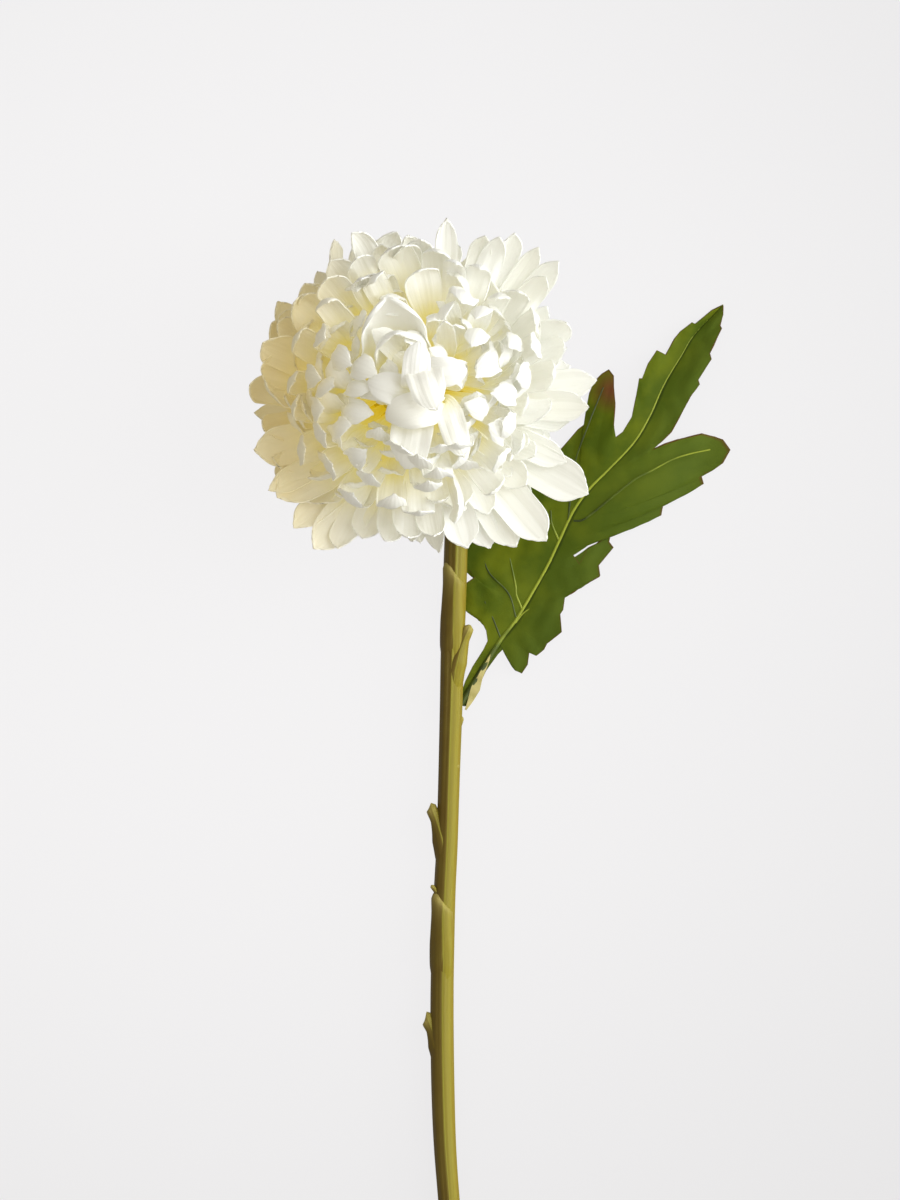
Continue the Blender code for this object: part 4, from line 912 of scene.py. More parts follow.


# %% [markdown]
# ## The petals' finish
#
# The petals are thin white cloth, yellow-green near their bases and cream-white at their tips; the
# bases' yellow is deepened as painted warm shade in the gaps. They let light through, so their
# shaded
# sides glow warm: a faint emission stands in for that light at a fraction of the render time that
# light under the surface takes, and a little more painted glow is added on the lit side. Fine ribs
# run along them, and their rims are paler, partly the cloth's own edge and partly a painted
# highlight. Painted light makes the petals on the lit side paler down to their bases, and painted
# shade makes those on the far side tan.

# %% Petal material
STREAK_SHIFT = 0.12
LIT_SIDE_FROM = -0.035
LIT_SIDE_OVER = 0.045
LIT_SIDE_PALING = 0.20
SHADED_SIDE_FROM = -0.045
SHADED_SIDE_OVER = 0.022


def petal_material():
    made, tree, shader = new_material("petal_white", 0.62)
    along = attribute(tree, "along")
    draw = attribute(tree, "draw")
    streaks = use_group(tree, STREAKS, Vector=uv_of(tree), Lines=14.0, Draw=draw)
    centred = math_node(tree, "ADD", along, -0.5 * STREAK_SHIFT)
    shifted = math_node(tree, "MULTIPLY_ADD", streaks.outputs["Streaks"], STREAK_SHIFT, centred)
    apart = tree.nodes.new("ShaderNodeSeparateXYZ")
    tree.links.new(object_place(tree), apart.inputs[0])
    # Painted light and shade: petals to the right, towards the light, are made paler, and those to
    # the left, away from it, are made tan.
    painted_light_side = share_past(tree, apart.outputs["X"], LIT_SIDE_FROM, LIT_SIDE_OVER)
    painted_shade_side = share_past(tree, apart.outputs["X"], SHADED_SIDE_FROM, -SHADED_SIDE_OVER)
    shifted = math_node(tree, "MULTIPLY_ADD", painted_light_side, LIT_SIDE_PALING, shifted)
    # The yellow near the bases is partly the cloth's own colour and partly painted warm shade for
    # light bounced into the deep gaps.
    colour = ramp(
        tree,
        shifted,
        (
            (0.10, (0.88, 0.76, 0.16)),
            (0.32, (0.94, 0.88, 0.46)),
            (0.52, (0.96, 0.95, 0.87)),
            (0.72, (0.97, 0.97, 0.96)),
        ),
    )
    shade = math_node(tree, "MULTIPLY", draw, 0.35)
    colour = mix(tree, shade, colour, (0.95, 0.93, 0.82), "MULTIPLY")
    # Paler rims: partly the cloth's own edge, partly a painted highlight along the rolled rims.
    rim = math_node(tree, "POWER", math_node(tree, "ABSOLUTE", attribute(tree, "across")), 2.5)
    rim = math_node(tree, "MULTIPLY", rim, math_node(tree, "MULTIPLY", along, 0.6))
    colour = mix(tree, rim, colour, (0.97, 0.97, 0.95))
    # Painted shade: the petals on the side away from the light are tinted tan.
    colour = mix(tree, painted_shade_side, colour, (0.99, 0.90, 0.655), "MULTIPLY")
    tree.links.new(colour, shader.inputs["Base Color"])
    glow = ramp(
        tree,
        shifted,
        ((0.05, (0.26, 0.20, 0.004)), (0.40, (0.18, 0.15, 0.03)), (0.75, (0.07, 0.067, 0.05))),
    )
    # Painted glow: petals on the lit side get more emission, standing in for light that passes
    # through them.
    glow = mix(tree, painted_light_side, glow, (0.045, 0.05, 0.045), "ADD")
    tree.links.new(glow, shader.inputs["Emission Color"])
    shader.inputs["Emission Strength"].default_value = 0.7
    shader.inputs["Specular IOR Level"].default_value = 0.2
    bump(tree, shader, streaks.outputs["Ribs"], 0.12, 0.5)
    return made


PETAL = petal_material()

# %% Make the petals
PETAL_THICKNESS = 0.45
for name, florets, seed, rows, columns in (
    ("petals_placed", placed, 3, 30, 15),
    ("petals_outer", outer, 4, 24, 13),
    ("petals_inner", inner, 5, 17, 9),
):
    surface, attributes, uv = petal_surface(florets, seed, rows, columns)
    piece = sheets(name, surface, PETAL_THICKNESS, attributes, uv)
    dress(piece, PETAL, "bloom")

# %% [markdown]
# ## The heart of the bloom
#
# Under the petals sits a small yellow-green dome that they grow from. A ball from Blender's own
# menu would do, but the cup behind it is a turned shape too, so one function makes both: it
# carries a profile round the flower's axis.

# %% Turned shapes
def turned_rings(profile, sides):
    """Rings from (radius, height along the axis from the core's centre) pairs."""
    profile = np.asarray(profile, float)
    turn = turns(sides)
    round_way = np.cos(turn)[:, None] * ACROSS + np.sin(turn)[:, None] * UPWARD
    return CORE_CENTRE + profile[:, 0, None, None] * round_way + profile[:, 1, None, None] * AXIS


def plain_material(name, colour, other, size_mm, roughness):
    """A mottled matt finish of two colours."""
    made, tree, shader = new_material(name, roughness)
    patches = use_group(tree, MOTTLE, Size_mm=size_mm)
    uneven = mix(tree, patches.outputs["Patches"], colour, other)
    tree.links.new(uneven, shader.inputs["Base Color"])
    bump(tree, shader, patches.outputs["Grain"], 0.1, 0.5)
    return made


HEART_RADIUS = 18.0
HEART_SIDES = 64
angles = np.linspace(0.02, math.pi - 0.02, 40)
heart_profile = np.stack([HEART_RADIUS * np.sin(angles), -HEART_RADIUS * np.cos(angles)], axis=1)
heart = tube("bloom_heart", turned_rings(heart_profile, HEART_SIDES))
heart_yellow = plain_material("heart_yellow", (0.82, 0.72, 0.16), (0.72, 0.64, 0.12), 6.0, 0.8)
dress(heart, heart_yellow, "bloom")

# %% [markdown]
# ## The cup of bracts
#
# Behind the petals, overlapping green scales hold the bloom on its stem. The photo hides them, so
# they are kept plain: the cup and its neck are turned, and each bract is a small pointed sheet
# that lies on the cup, in two rows. Carved into the cup, their tips couldn't stand off it.

# %% Bract cup
CUP_ANGLE = math.radians(28.0)
NECK_RADIUS = 4.3
CUP_SIDES = 72
BRACTS = 13
BRACT_THICKNESS = 0.5


def cup_profile():
    """Inside of the cup from the middle to the rim, then its outside down to the neck's foot."""
    inner_radius = CORE_RADIUS + 0.2
    outer_radius = inner_radius + CUP_WALL
    inward = np.linspace(0.02, CUP_ANGLE, 12)
    outward = np.linspace(CUP_ANGLE, 0.23, 12)
    inside = inner_radius * np.stack([np.sin(inward), -np.cos(inward)], axis=1)
    outside = outer_radius * np.stack([np.sin(outward), -np.cos(outward)], axis=1)
    foot = -(outer_radius + NECK_LENGTH + 0.3)
    neck = [
        (NECK_RADIUS + 0.7, -outer_radius - 0.6),
        (NECK_RADIUS, foot + 2.4),
        (NECK_RADIUS, foot),
        (0.3, foot),
    ]
    return np.vstack([inside, outside, neck])


def bract_surface(rows=16, columns=9):
    """Middle surfaces of the bracts: pointed, cupped over the cup's ball, in two rows."""
    number = np.arange(2 * BRACTS)
    upper = (number % 2)[:, None, None]
    turn = (number * TAU / (2 * BRACTS))[:, None, None]
    u = np.linspace(0.0, 1.0, rows)[None, :, None]
    v = np.linspace(-1.0, 1.0, columns)[None, None]
    polar = math.pi - np.radians(8.0 + u * (23.5 + 3.5 * upper))
    radius = CORE_RADIUS + CUP_WALL + 0.45 + 0.55 * (1 - upper) + 0.5 * u * (1.0 - 0.3 * np.abs(v))
    half = 3.0 * np.clip(1.0 - u**3.2, 0.03, 1.0) * (0.75 + 0.5 * u * (1.0 - u))
    aside = half * v / (radius * np.sin(math.pi - polar))
    way = sphere_direction(polar + 0 * v, turn + aside)
    shape = way.shape[:3]
    edge = np.broadcast_to(np.abs(v), shape)
    surface = CORE_CENTRE + (radius + 0 * aside)[..., None] * way
    uv = np.stack([np.broadcast_to(v * 0.5 + 0.5, shape), np.broadcast_to(u, shape)], axis=-1)
    return surface, {"across": edge, "along": np.broadcast_to(u, shape)}, uv


def bract_material():
    made, tree, shader = new_material("bract_green", 0.6)
    streaks = use_group(tree, STREAKS, Vector=uv_of(tree), Lines=9.0, Draw=0.3)
    body = mix(tree, streaks.outputs["Streaks"], (0.10, 0.14, 0.03), (0.19, 0.22, 0.06))
    past = math_node(tree, "SUBTRACT", attribute(tree, "across"), 0.75)
    margin = math_node(tree, "SMOOTH_MAX", past, 0.0, 0.05)
    colour = mix(tree, math_node(tree, "MULTIPLY", margin, 3.0), body, (0.42, 0.38, 0.20))
    tree.links.new(colour, shader.inputs["Base Color"])
    bump(tree, shader, streaks.outputs["Ribs"], 0.1, 0.5)
    return made


cup = tube("cup_and_neck", turned_rings(cup_profile(), CUP_SIDES)[:, ::-1])
surface, attributes, uv = bract_surface()
scales = sheets("bracts", surface, BRACT_THICKNESS, attributes, uv)
BRACT = bract_material()
cup_green = plain_material("cup_green", (0.12, 0.15, 0.035), (0.20, 0.20, 0.06), 4.0, 0.6)
dress(cup, cup_green, "involucre")
dress(scales, BRACT, "involucre")

# %% [markdown]
# ## The stem
#
# The stem is a ribbed rod. Its radius is a function of the place along it and the turn round it:
# three broad ribs, finer ones between them, and one crease that runs its whole length. A curve
# with a bevel would be round all along, so rings with that radius are carried along the line.

# %% Stem surface
STEM_STEP = 1.2
STEM_SIDES = 60
SWELL = 0.05
BROAD_RIBS = 0.05
CREASE_TURN = 1.85
CREASE_WIDTH = 0.11
CREASE_DEPTH = 0.055
LEAST_HEIGHT = 0.02


def stem_radius(share, turn):
    """Radius of the stem by the share along it and the turn round it.

    It swells slowly, and cosines of 3, 11 and 17 turns make the ribs. The crease is a bell curve
    that wanders a little along the stem's upper side.
    """
    swell = STEM_RADIUS * (1.0 + SWELL * np.sin(17.0 * share))
    broad = BROAD_RIBS * np.cos(3 * turn + 0.6)
    fine = 0.016 * np.cos(11 * turn + 2.0 * np.sin(9.0 * share))
    finest = 0.01 * np.cos(17 * turn + 30.0 * share)
    off_crease = turn - CREASE_TURN - 0.1 * np.sin(14.0 * share)
    crease = -CREASE_DEPTH * np.exp(-((off_crease / CREASE_WIDTH) ** 2))
    return swell * (1.0 + broad + fine + finest + crease)


def rod(name, rings, cut):
    """A closed tube whose UV map is the turn round it and the share along it. cut marks its tip."""
    count, sides, _ = rings.shape
    around = np.broadcast_to(turns(sides), (count, sides))
    share = np.broadcast_to(np.linspace(0.0, 1.0, count)[:, None], (count, sides))
    uv = np.stack([np.abs(around - math.pi) / TAU, share], axis=-1)
    return tube(name, rings, {"around": around, "cut": cut * share**9}, uv)


line = stem_line(STEM_STEP)
share = np.linspace(0.0, 1.0, len(line))[:, None]
stem_rings = rings_round(line, stem_radius(share, turns(STEM_SIDES)[None]), AXIS)
stem_rings[..., 2] = np.maximum(stem_rings[..., 2], LEAST_HEIGHT)
stem = rod("stem_rod", stem_rings, 0.0)

# %% [markdown]
# ## Stubs and sheaths
#
# Leaves that were cut or pulled off have left stubs, and the sheath of each clasps the stem. Each
# is a short tapered tube that leaves the stem at a low angle and ends in a rounded tip, some of
# them cut at a slant. The thin one is a runner left by the mould, and the smallest a knot.
#
# Each row holds where the stub starts and ends along y, how far its tip stands aside and rises,
# its radius low down and at its tip, and how much lower the right side of its tip is cut.

# %% Stubs
STUB_ROWS = 26
STUB_SIDES = 28
STUBS = (
    (-24.0, 10.7, -0.4, 1.8, 4.1, 3.7, 7.0),
    (-33.0, -8.4, 5.7, 1.8, 3.7, 1.9, 0.0),
    (-54.0, -38.5, 3.2, -1.8, 2.2, 1.9, 0.0),
    (-62.0, -55.0, 3.0, 1.2, 1.6, 1.3, 0.0),
    (-92.0, -69.2, -6.0, 0.8, 3.2, 1.75, -1.5),
    (-131.0, -100.3, -0.7, 1.6, 4.1, 3.7, 6.0),
    (-105.5, -96.0, -4.5, 3.0, 0.95, 0.75, 0.0),
    (-115.0, -112.9, -1.9, 3.4, 0.5, 0.5, 0.0),
    (-129.0, -119.0, 3.4, 0.8, 1.1, 0.7, 0.0),
    (-159.0, -140.3, -5.4, 0.8, 3.1, 1.7, -3.0),
    (-176.0, -166.5, 3.2, 0.6, 1.2, 0.8, 0.0),
)


def stub_rings(row):
    """Rings of one stub: its path leaves the stem's line, and its radius rounds off at the tip."""
    low, high, aside, rise, thick, thin, slant = row
    y = np.linspace(low, high, STUB_ROWS)
    s = np.linspace(0.0, 1.0, STUB_ROWS)
    x = np.interp(y, line[:, 1], line[:, 0])
    z = np.interp(y, line[:, 1], line[:, 2])
    path = np.stack([x + aside * s**1.8, y, z + rise * s**1.5], axis=1)
    body = np.interp(s, [0.0, 0.25, 0.5, 0.8, 1.0], [0.75 * thick, thick, thick, thin, thin])
    into_end = np.clip((y - high + 0.8 * thin) / (0.82 * thin), 0.0, 1.0)
    end = np.sqrt(np.clip(1.0 - into_end**2, 0.02, 1.0))
    turn = turns(STUB_SIDES)[None]
    uneven = 1.0 + 0.03 * np.cos(5 * turn + 8 * s[:, None])
    rings = rings_round(path, (body * end)[:, None] * uneven)
    rings[..., 1] -= 0.5 * slant * np.cos(turn) * (s[:, None] ** 3)
    return rings


stubs = [rod(f"stub_{number}", stub_rings(row), 1.0) for number, row in enumerate(STUBS)]

# %% [markdown]
# ## The stem's finish
#
# The stem's left part is a dark olive brown and the rest a light yellow olive, with a bright line
# between them and streaks along it. The two tones are partly the mould's colour and partly painted
# shade on the side away from the light. The stubs' tips are paler. A ramp over the turn round the
# stem gives the two tones.

# %% Stem material
DARKEST_TURN = 2.9


def stem_material():
    made, tree, shader = new_material("stem_olive", 0.48)
    around = attribute(tree, "around")
    streaks = use_group(tree, STREAKS, Vector=uv_of(tree), Lines=22.0, Draw=0.1)
    patches = use_group(tree, MOTTLE, Size_mm=7.0)
    # The darker left side is partly the mould's colour and partly painted shade on the side away
    # from the light.
    away = math_node(tree, "COSINE", math_node(tree, "SUBTRACT", around, DARKEST_TURN))
    dark = math_node(tree, "MULTIPLY_ADD", away, 0.5, 0.5)
    streak = math_node(tree, "SUBTRACT", streaks.outputs["Streaks"], 0.5)
    dark = math_node(tree, "MULTIPLY_ADD", streak, 0.5, dark)
    colour = ramp(
        tree,
        dark,
        (
            (0.10, (0.30, 0.22, 0.012)),
            (0.28, (0.33, 0.27, 0.018)),
            (0.48, (0.25, 0.20, 0.012)),
            (0.55, (0.36, 0.33, 0.035)),
            (0.60, (0.13, 0.078, 0.006)),
            (0.95, (0.105, 0.060, 0.005)),
        ),
    )
    blotched = math_node(tree, "MULTIPLY", patches.outputs["Patches"], 0.3)
    colour = mix(tree, blotched, colour, (0.24, 0.22, 0.03))
    cut = math_node(tree, "MULTIPLY", attribute(tree, "cut"), 0.8)
    colour = mix(tree, cut, colour, (0.50, 0.42, 0.12))
    tree.links.new(colour, shader.inputs["Base Color"])
    shader.inputs["Specular IOR Level"].default_value = 0.25
    bump(tree, shader, streaks.outputs["Ribs"], 0.12, 0.5)
    return made


STEM = stem_material()
stem = join_pieces("stem_with_stubs", [stem, *stubs])
dress(stem, STEM, "stem")

# %% [markdown]
# ## The leaf
#
# The leaf is lobed and toothed. Its rib is a line through given points. Each margin is a list of
# points, one for each lobe, tooth and notch, with the place on the rib that it belongs to. A filled
# outline would bend badly, as its faces don't follow the rib. So a row of the blade runs from one
# margin over the rib to the other, bent back towards the foot so that rows never cross.

# %% Leaf outline
# The rows of the rib and the margins are in millimetres from the leaf's foot.
LEAF_FOOT = np.array([3.7, -35.3, 4.1])
LEAF_LENGTH = 162.5
LEAF_REST = 0.75
LEAF_ARCH = 6.0
LEAF_ARCH_PLACES = (0.28, 0.62, 1.0)
MARGIN_BEND = 0.16
LEAF_RIB = (
    (0.0, 0.0), (6.5, 11.0), (13.5, 22.0), (18.5, 28.5), (24.5, 38.5), (29.5, 47.5), (33.0, 55.0),
    (38.0, 65.5), (43.5, 73.0), (49.5, 79.0), (58.0, 88.0), (63.5, 97.0), (68.5, 108.0),
    (74.5, 118.0), (78.5, 124.5), (88.5, 135.0),
)
RIGHT_MARGIN = (
    (0, 1.5, -0.5), (8.5, 5, 4), (16.5, 8.5, 11.5), (22.5, 12.5, 17), (24.5, 14.5, 19),
    (25.5, 16.5, 15), (26.5, 18.5, 11.5), (27.5, 20.5, 10.5), (28.5, 22.5, 13.5), (29.5, 23, 17.5),
    (31, 25.5, 16.5), (32.5, 28, 18.5), (33.5, 29, 20.5), (34.5, 34, 24.5), (36, 33.5, 30.5),
    (37.5, 34.5, 32), (38.5, 35, 36), (42, 40.5, 39.5), (43.5, 47, 43.5), (45, 46.5, 47),
    (47, 51.5, 53), (48.5, 50, 55), (50.5, 50.5, 57.5), (52, 46, 54.5), (53, 43, 53),
    (54, 40.2, 47.4), (55, 37.8, 50.6), (55.8, 41.8, 53.2), (56.5, 44.2, 55), (58, 50.5, 59.5),
    (60.5, 59.5, 62), (63, 67.5, 64), (65, 68.5, 68.5),
    (67.5, 77.5, 72), (70, 82, 74.5), (72, 81, 78), (74, 85, 79), (76, 88.5, 81.5), (78.5, 91, 86),
    (81, 88.5, 89.5), (83.5, 85.5, 90.5), (86, 81.5, 91.5), (89.5, 73.5, 89.5), (92.5, 69, 88),
    (96, 64.5, 86), (100, 67.5, 88.5), (104, 71, 92), (108.5, 73.5, 96.5), (114.5, 77.5, 104),
    (119, 80.5, 108), (121.5, 80, 109.5), (127.5, 84.5, 116.5), (130.5, 84, 118.5),
    (138.5, 88, 127), (141.5, 87.5, 128), (150, 88.5, 131.5), (162.5, 88.5, 135.0),
)
LEFT_MARGIN = (
    (0, -1, 1), (8.5, 1.5, 8), (15, 4, 13), (20, 7.5, 18.5), (22.5, 9, 21.5), (24.5, 8.5, 25),
    (26.5, 7, 28), (29, 3, 31.5), (31, -0.5, 33.5), (32.5, 0.5, 36.5), (34.5, -2, 39.5),
    (36, 1, 40.5), (37.5, 4.5, 43), (39.5, 2.5, 45.5), (41.5, -2, 48.5), (44, -1, 52.5),
    (46.5, 3, 55), (49, 3.5, 60.5), (51.5, 7.5, 61.5), (54.5, 12.5, 59.5), (57.5, 17, 61.5),
    (60.5, 17, 69.5), (64, 20.5, 76), (67.5, 24.5, 81.5), (69.5, 28.5, 80), (72, 35, 82.5),
    (74.5, 33.5, 86), (76.5, 39.5, 93), (78, 43, 95.5), (79.5, 43.5, 101.5), (81.5, 43.5, 105),
    (83.5, 45, 109), (85.5, 47.5, 111.5), (87.5, 50, 113), (89, 51.5, 111), (90.5, 51.5, 107.5),
    (93, 52, 102), (96.5, 51.5, 94.5), (100, 52, 90), (106, 54.5, 92), (110, 57.5, 97),
    (114.5, 59, 104), (118.5, 60, 110), (120.5, 61, 110), (124.5, 63, 115), (128, 66, 119.5),
    (132, 69, 118), (137.5, 72, 123.5), (140.5, 74, 126), (144.5, 78, 129), (147, 79, 128.5),
    (154.5, 84.5, 133), (162.5, 88.5, 135.0),
)


# %% Leaf surface
RIPPLE_HEIGHT = 0.18
LEAF_LEAST_HEIGHT = 0.32
LEAF_THICKNESS = 0.6
ROW_STEP = 0.7

rib = smooth_line([(x, y, 0.0) for x, y in LEAF_RIB], 0.5)[:, :2]
rib_reach = np.concatenate([[0.0], np.cumsum(np.linalg.norm(np.diff(rib, axis=0), axis=1))])
rib_reach *= LEAF_LENGTH / rib_reach[-1]


def on_rib(reach):
    """Plan point of the rib at a length along it."""
    return np.stack([np.interp(reach, rib_reach, rib[:, k]) for k in (0, 1)], axis=-1)


def leaf_height(reach, aside):
    """Height of the blade by the length along its rib and the distance from it.

    It arches over its length, folds up from its rib by 0.16 of the distance, and droops further out
    by the distance squared.
    """
    ahead = np.clip(reach / LEAF_LENGTH, 0.0, 1.0)
    low, top, high = LEAF_ARCH_PLACES
    arch = LEAF_ARCH * (smooth(ahead, low, top) - smooth(ahead, top, high))
    fall = (LEAF_FOOT[2] - LEAF_REST) * (1.0 - ahead) ** 2.2 + arch
    wide = np.abs(aside)
    fold = 0.16 * wide - 0.006 * wide**2
    return LEAF_REST + fall + fold + 0.5 * np.sin(0.21 * reach) * np.clip(wide / 12.0, 0.0, 1.0)


def half_rows(margin, feet, t):
    """Plan points from the rib (t = 0) to one margin (t = 1), on a curve bent back to the foot."""
    foot, x, y = np.array(margin, float).T
    tip = np.stack([np.interp(feet, foot, x), np.interp(feet, foot, y)], axis=1)
    root = on_rib(feet)
    along = unit(on_rib(feet + 0.5) - on_rib(feet - 0.5))
    width = np.linalg.norm(tip - root, axis=1, keepdims=True)
    bent = 0.5 * (root + tip) - MARGIN_BEND * width * along
    t = t[None, :, None]
    return (1 - t) ** 2 * root[:, None] + 2 * (1 - t) * t * bent[:, None] + t**2 * tip[:, None]


def leaf_surface():
    """The blade's middle surface, from the left margin over the rib to the right one."""
    at_corners = [row[0] for row in (*LEFT_MARGIN, *RIGHT_MARGIN)]
    between = np.arange(0.0, LEAF_LENGTH, ROW_STEP)
    feet = np.unique(np.round(np.concatenate([at_corners, between]), 3))
    feet = feet[feet < LEAF_LENGTH - 0.4]
    t = np.concatenate([np.linspace(0.0, 0.96, 15), [1.0]])
    left = half_rows(LEFT_MARGIN, feet, t)
    right = half_rows(RIGHT_MARGIN, feet, t)
    plan = np.concatenate([left[:, :0:-1], right], axis=1)
    aside = np.linalg.norm(plan - on_rib(feet)[:, None], axis=2)
    height = leaf_height(feet[:, None], aside)
    ripple = np.sin(plan[..., 0] * 0.9 + 2.0 * np.sin(plan[..., 1] * 0.31))
    height = height + RIPPLE_HEIGHT * ripple * smooth(aside, 2.0, 8.0)
    height = np.maximum(height, LEAF_LEAST_HEIGHT)
    surface = np.concatenate([plan + LEAF_FOOT[:2], height[..., None]], axis=2)
    edge = np.broadcast_to(np.concatenate([t[:0:-1], t]), aside.shape)
    side = np.broadcast_to(np.concatenate([-t[:0:-1], t]), aside.shape)
    along = np.broadcast_to(feet[:, None] / LEAF_LENGTH, aside.shape)
    return surface, {"edge": edge, "side": side, "along": along, "aside": aside * np.sign(side)}


# %% [markdown]
# ## The leaf's finish
#
# The leaf is printed cloth: its left half is blotched yellow-green and dark, its right half an even
# darker green. A dark line of painted shadow runs beside the rib, as in a groove, the margin is a
# thin brown line, and one lobe has a brown-red patch near its tip. Each point of the blade knows
# its distance from the rib and the margin, so the colours follow the leaf's own form and no picture
# is needed.

# %% Leaf material
BLOTCH_FROM = 0.38
BLOTCH_OVER = 0.24
BROWN_PATCH = (612.0, 386.0)
LEAF_PATCH_HEIGHT = 8.0
PATCH_SIZE = 0.009
SHADOW_LINE_ASIDE = 0.9
SHADOW_LINE_WIDTH = 0.9
MARGIN_FROM = 0.975


def leaf_material():
    made, tree, shader = new_material("leaf_green", 0.55)
    patches = use_group(tree, MOTTLE, Size_mm=14.0)
    weave = use_group(tree, MOTTLE, Size_mm=2.0)
    blotches = share_past(tree, patches.outputs["Patches"], BLOTCH_FROM, BLOTCH_OVER)
    left = mix(tree, blotches, (0.065, 0.100, 0.002), (0.145, 0.175, 0.004))
    right = mix(tree, blotches, (0.066, 0.102, 0.007), (0.088, 0.126, 0.010))
    colour = mix(tree, share_past(tree, attribute(tree, "side"), -0.5, 1.25), left, right)
    grain = math_node(tree, "MULTIPLY", weave.outputs["Grain"], 0.3)
    colour = mix(tree, grain, colour, (0.13, 0.18, 0.02))
    # Painted shadow: a dark line just beside the rib stands in for the shade of a pressed groove.
    beside = math_node(tree, "SUBTRACT", attribute(tree, "aside"), SHADOW_LINE_ASIDE)
    painted_groove_shadow = share_past(tree, math_node(tree, "ABSOLUTE", beside), SHADOW_LINE_WIDTH, -SHADOW_LINE_WIDTH)
    colour = mix(tree, math_node(tree, "MULTIPLY", painted_groove_shadow, 0.8), colour, (0.022, 0.035, 0.004))
    from_patch = distance_from(tree, place([*from_photo(BROWN_PATCH), LEAF_PATCH_HEIGHT]))
    brown = math_node(tree, "MULTIPLY", share_past(tree, from_patch, PATCH_SIZE, -PATCH_SIZE), 1.2)
    colour = mix(tree, brown, colour, (0.16, 0.055, 0.02))
    rim = share_past(tree, attribute(tree, "edge"), MARGIN_FROM, 1.0 - MARGIN_FROM)
    colour = mix(tree, rim, colour, (0.12, 0.06, 0.015))
    tree.links.new(colour, shader.inputs["Base Color"])
    shader.inputs["Specular IOR Level"].default_value = 0.08
    bump(tree, shader, weave.outputs["Grain"], 0.15, 0.6)
    return made


surface, attributes = leaf_surface()
attributes = {key: value[None] for key, value in attributes.items()}
uv = np.stack([attributes["side"] * 0.5 + 0.5, attributes["along"]], axis=-1)
LEAF = leaf_material()
blade = sheets("leaf_blade", surface[None], LEAF_THICKNESS, attributes, uv)
dress(blade, LEAF, "leaf")

# %% [markdown]
# ## The leaf's rib and veins
#
# The veins are thin lines that stand a little proud of the blade, light yellow-green in some places
# and dark in others. Painted on, they would lie flat under the light, so each is a thin tube
# along a line on the blade. The rib is thick and dark at the stalk, and thin and light above it.

# %% Veins
VEIN_SIDES = 10
RIB_PLACES = (0.0, 0.12, 0.2, 0.45, 1.0)
RIB_RADII = (1.3, 1.0, 0.55, 0.5, 0.2)
RIB_LIGHT = (0.15, 0.2, 0.8, 0.9, 0.7)
RIB_LIFT = 0.1
VEIN_RADII = (0.36, 0.2)
VEIN_LIFT = 0.14
# How light each vein is at its start and its end, then its points.
VEINS = (
    (0.1, 0.9, (38.0, 62.0), (41.5, 62.5), (48.0, 67.5), (58.0, 75.5), (64.5, 79.0), (71.0, 82.5),
     (77.0, 84.5), (84.0, 86.0)),
    (0.9, 0.5, (18.2, 27.5), (21.5, 31.2), (25.7, 33.5), (30.5, 34.7)),
    (0.8, 0.3, (20.5, 32.5), (18.7, 37.0), (18.3, 41.0), (16.0, 51.5)),
    (0.3, 0.0, (18.5, 29.5), (16.0, 37.5), (9.7, 44.2), (7.5, 49.5)),
    (0.2, 0.0, (13.5, 22.0), (10.7, 29.2), (8.0, 34.8)),
    (0.7, 0.3, (33.2, 55.0), (30.7, 61.0), (30.3, 65.5)),
    (0.25, 0.0, (36.0, 61.0), (38.2, 80.5), (42.7, 93.8), (48.0, 107.0)),
)


def height_at(plan):
    """Height of the blade over plan points, from the nearest place on the rib."""
    gap = np.linalg.norm(plan[:, None] - rib[None], axis=2)
    nearest = np.argmin(gap, axis=1)
    return leaf_height(rib_reach[nearest], gap.min(axis=1))


def vein(name, plan, places, radii, light, lift):
    """A tube along a line on the blade, with its radius and its lightness at places along it."""
    plan = smooth_line([(x, y, 0.0) for x, y in plan], 0.8)[:, :2]
    path = np.column_stack([plan + LEAF_FOOT[:2], height_at(plan) + lift])
    share = np.linspace(0.0, 1.0, len(path))[:, None] * np.ones((1, VEIN_SIDES))
    rings = rings_round(path, np.interp(share, places, radii))
    return tube(name, rings, {"light": np.interp(share, places, light)})


def vein_material():
    made, tree, shader = new_material("vein_green", 0.5)
    patches = use_group(tree, MOTTLE, Size_mm=5.0)
    uneven = math_node(tree, "SUBTRACT", patches.outputs["Patches"], 0.5)
    light = math_node(tree, "MULTIPLY_ADD", uneven, 0.8, attribute(tree, "light"))
    colour = ramp(
        tree,
        light,
        ((0.1, (0.035, 0.055, 0.005)), (0.45, (0.12, 0.17, 0.01)), (0.8, (0.36, 0.42, 0.03))),
    )
    tree.links.new(colour, shader.inputs["Base Color"])
    return made


tubes = [vein("rib", LEAF_RIB, RIB_PLACES, RIB_RADII, RIB_LIGHT, RIB_LIFT)]
for number, (first, last, *plan) in enumerate(VEINS):
    made = vein(f"vein_{number}", plan, (0.0, 1.0), VEIN_RADII, (first, last), VEIN_LIFT)
    tubes.append(made)
veins = join_pieces("leaf_rib_and_veins", tubes)
dress(veins, vein_material(), "leaf")

# %% [markdown]
# ## The stalk's wing
#
# A pale, wavy strip of cloth runs along the right side of the leaf's stalk, down to the stem. The
# blade's rows are too coarse for it, so it is a closed sheet of its own: its inner edge follows
# the stalk, and its outer edge waves.

# %% Wing
WING_LINE = (
    (465.5, 711.0), (469.5, 702.0), (474.0, 690.0), (480.0, 677.0), (486.0, 665.0), (491.0, 655.0),
)
WING_WIDTHS = (0.3, 1.3, 2.1, 1.2, 0.9, 0.2)
WING_RISE = 0.9
WING_COLUMNS = 5
WING_THICKNESS = 0.3


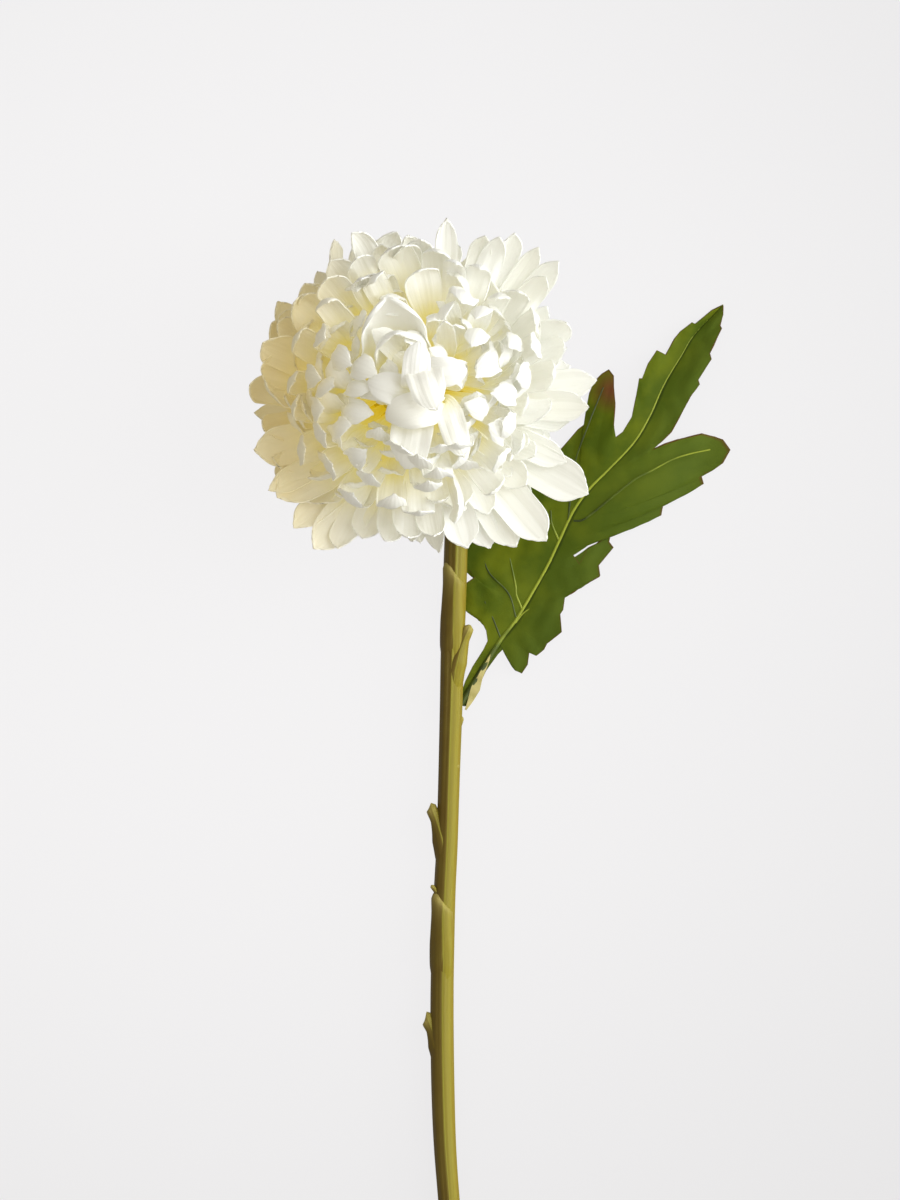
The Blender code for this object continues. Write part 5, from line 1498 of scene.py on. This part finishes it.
def wing_surface():
    """The strip's middle surface: from its inner edge out by its width, drooping a little."""
    inner_edge = smooth_line([(x, y, 0.0) for x, y in from_photo(WING_LINE)], 0.5)[:, :2]
    way = unit(np.gradient(inner_edge, axis=0))
    outward = np.column_stack([way[:, 1], -way[:, 0]])
    s = np.linspace(0.0, 1.0, len(inner_edge))
    width = np.interp(s, np.linspace(0.0, 1.0, len(WING_WIDTHS)), WING_WIDTHS)
    t = np.linspace(-0.5, 1.0, WING_COLUMNS)[None, :, None]
    plan = inner_edge[:, None] + t * width[:, None, None] * outward[:, None]
    along = height_at(inner_edge - LEAF_FOOT[:2]) + WING_RISE + 0.2 * np.sin(22.0 * s)
    height = along[:, None] - 0.2 * t[..., 0]
    return np.concatenate([plan, height[..., None]], axis=2)[None]


strip = wing_surface()
strip_uv = np.zeros((*strip.shape[:3], 2))
wing = sheets("leaf_stalk_wing", strip, WING_THICKNESS, {}, strip_uv)
wing_tan = plain_material("wing_tan", (0.62, 0.50, 0.22), (0.45, 0.42, 0.12), 3.0, 0.6)
dress(wing, wing_tan, "leaf")

# %% [markdown]
# ## Table, light and camera
#
# The photo has a plain, nearly white ground without a hard shadow, and one large soft light from
# the right. The table glows, as a light table does, so that shadows on it stay pale. It glows less
# far from its brightest spot, and lights the flower less than it looks to the camera, so that the
# petals' undersides stay in shade. The flower lies down, so the camera looks straight down on it
# through a long lens.

# %% Stage
TABLE_GLOW = 0.84
TABLE_SHINE = 0.30
BRIGHTEST_SPOT = (-0.09, 0.14, 0.0)
HALFWAY_CUBED = 0.035
GLOW_LOSS = 0.23


def table_material():
    made, tree, shader = new_material("pale_table", 0.9)
    shader.inputs["Base Color"].default_value = (0.07, 0.07, 0.07, 1.0)
    shader.inputs["Specular IOR Level"].default_value = 0.0
    shader.inputs["Emission Color"].default_value = (1.0, 0.99, 1.0, 1.0)
    seen = tree.nodes.new("ShaderNodeLightPath").outputs["Is Camera Ray"]
    strength = math_node(tree, "MULTIPLY_ADD", seen, TABLE_GLOW - TABLE_SHINE, TABLE_SHINE)
    cubed = math_node(tree, "POWER", distance_from(tree, BRIGHTEST_SPOT), 3.0)
    far = math_node(tree, "DIVIDE", cubed, math_node(tree, "ADD", cubed, HALFWAY_CUBED))
    kept = math_node(tree, "MULTIPLY_ADD", far, -GLOW_LOSS, 1.0)
    strength = math_node(tree, "MULTIPLY", strength, kept)
    tree.links.new(strength, shader.inputs["Emission Strength"])
    return made


TABLE_HALF = 6000.0
LIGHTS_AIM = np.array([0.0, 0.0, 40.0])
corners = np.array([(x, y, 0.0) for x, y in ((-1, -1), (1, -1), (1, 1), (-1, 1))]) * TABLE_HALF
table = fill_mesh("table", corners, [np.array([[0, 1, 2, 3]])])
table.data.materials.append(table_material())


def soft_light(name, at, size, power, colour):
    """A square area light at a point in millimetres, turned to the bloom."""
    lamp = bpy.data.lights.new(name, "AREA")
    lamp.shape = "SQUARE"
    lamp.size = size * MM
    lamp.energy = power
    lamp.color = colour
    obj = bpy.data.objects.new(name, lamp)
    bpy.context.scene.collection.objects.link(obj)
    obj.location = place(at)
    aim = Vector(place(LIGHTS_AIM) - place(at))
    obj.rotation_euler = aim.to_track_quat("-Z", "Y").to_euler()


soft_light("key_from_the_right", (1050.0, 380.0, 1350.0), 1200.0, 12.0, (0.93, 0.97, 1.0))
soft_light("through_from_the_right", (1450.0, 250.0, 350.0), 900.0, 16.0, (0.96, 0.99, 1.0))
soft_light("fill_from_above", (200.0, 200.0, 2300.0), 2000.0, 5.0, (1.0, 0.99, 0.96))

world = bpy.data.worlds.new("soft_room")
world.use_nodes = True
background = world.node_tree.nodes["Background"]
background.inputs["Color"].default_value = (1.0, 0.94, 0.78, 1.0)
background.inputs["Strength"].default_value = 0.48
bpy.context.scene.world = world
bpy.context.scene.view_settings.view_transform = "Standard"

# %% Camera
PHOTO_HEIGHT_MM = 400.0
FOCUS_HEIGHT = 45.0
CAMERA_DISTANCE = 3500.0
SENSOR = 36.0

camera = bpy.data.objects.new("camera", bpy.data.cameras.new("camera"))
bpy.context.scene.collection.objects.link(camera)
camera.data.sensor_fit = "AUTO"
camera.data.sensor_width = SENSOR
camera.data.lens = SENSOR * CAMERA_DISTANCE / PHOTO_HEIGHT_MM
camera.data.clip_end = 20.0
camera.location = place([0.0, 0.0, FOCUS_HEIGHT + CAMERA_DISTANCE])
bpy.context.scene.camera = camera
print("camera looks straight down from", round(camera.location.z, 3), "m")
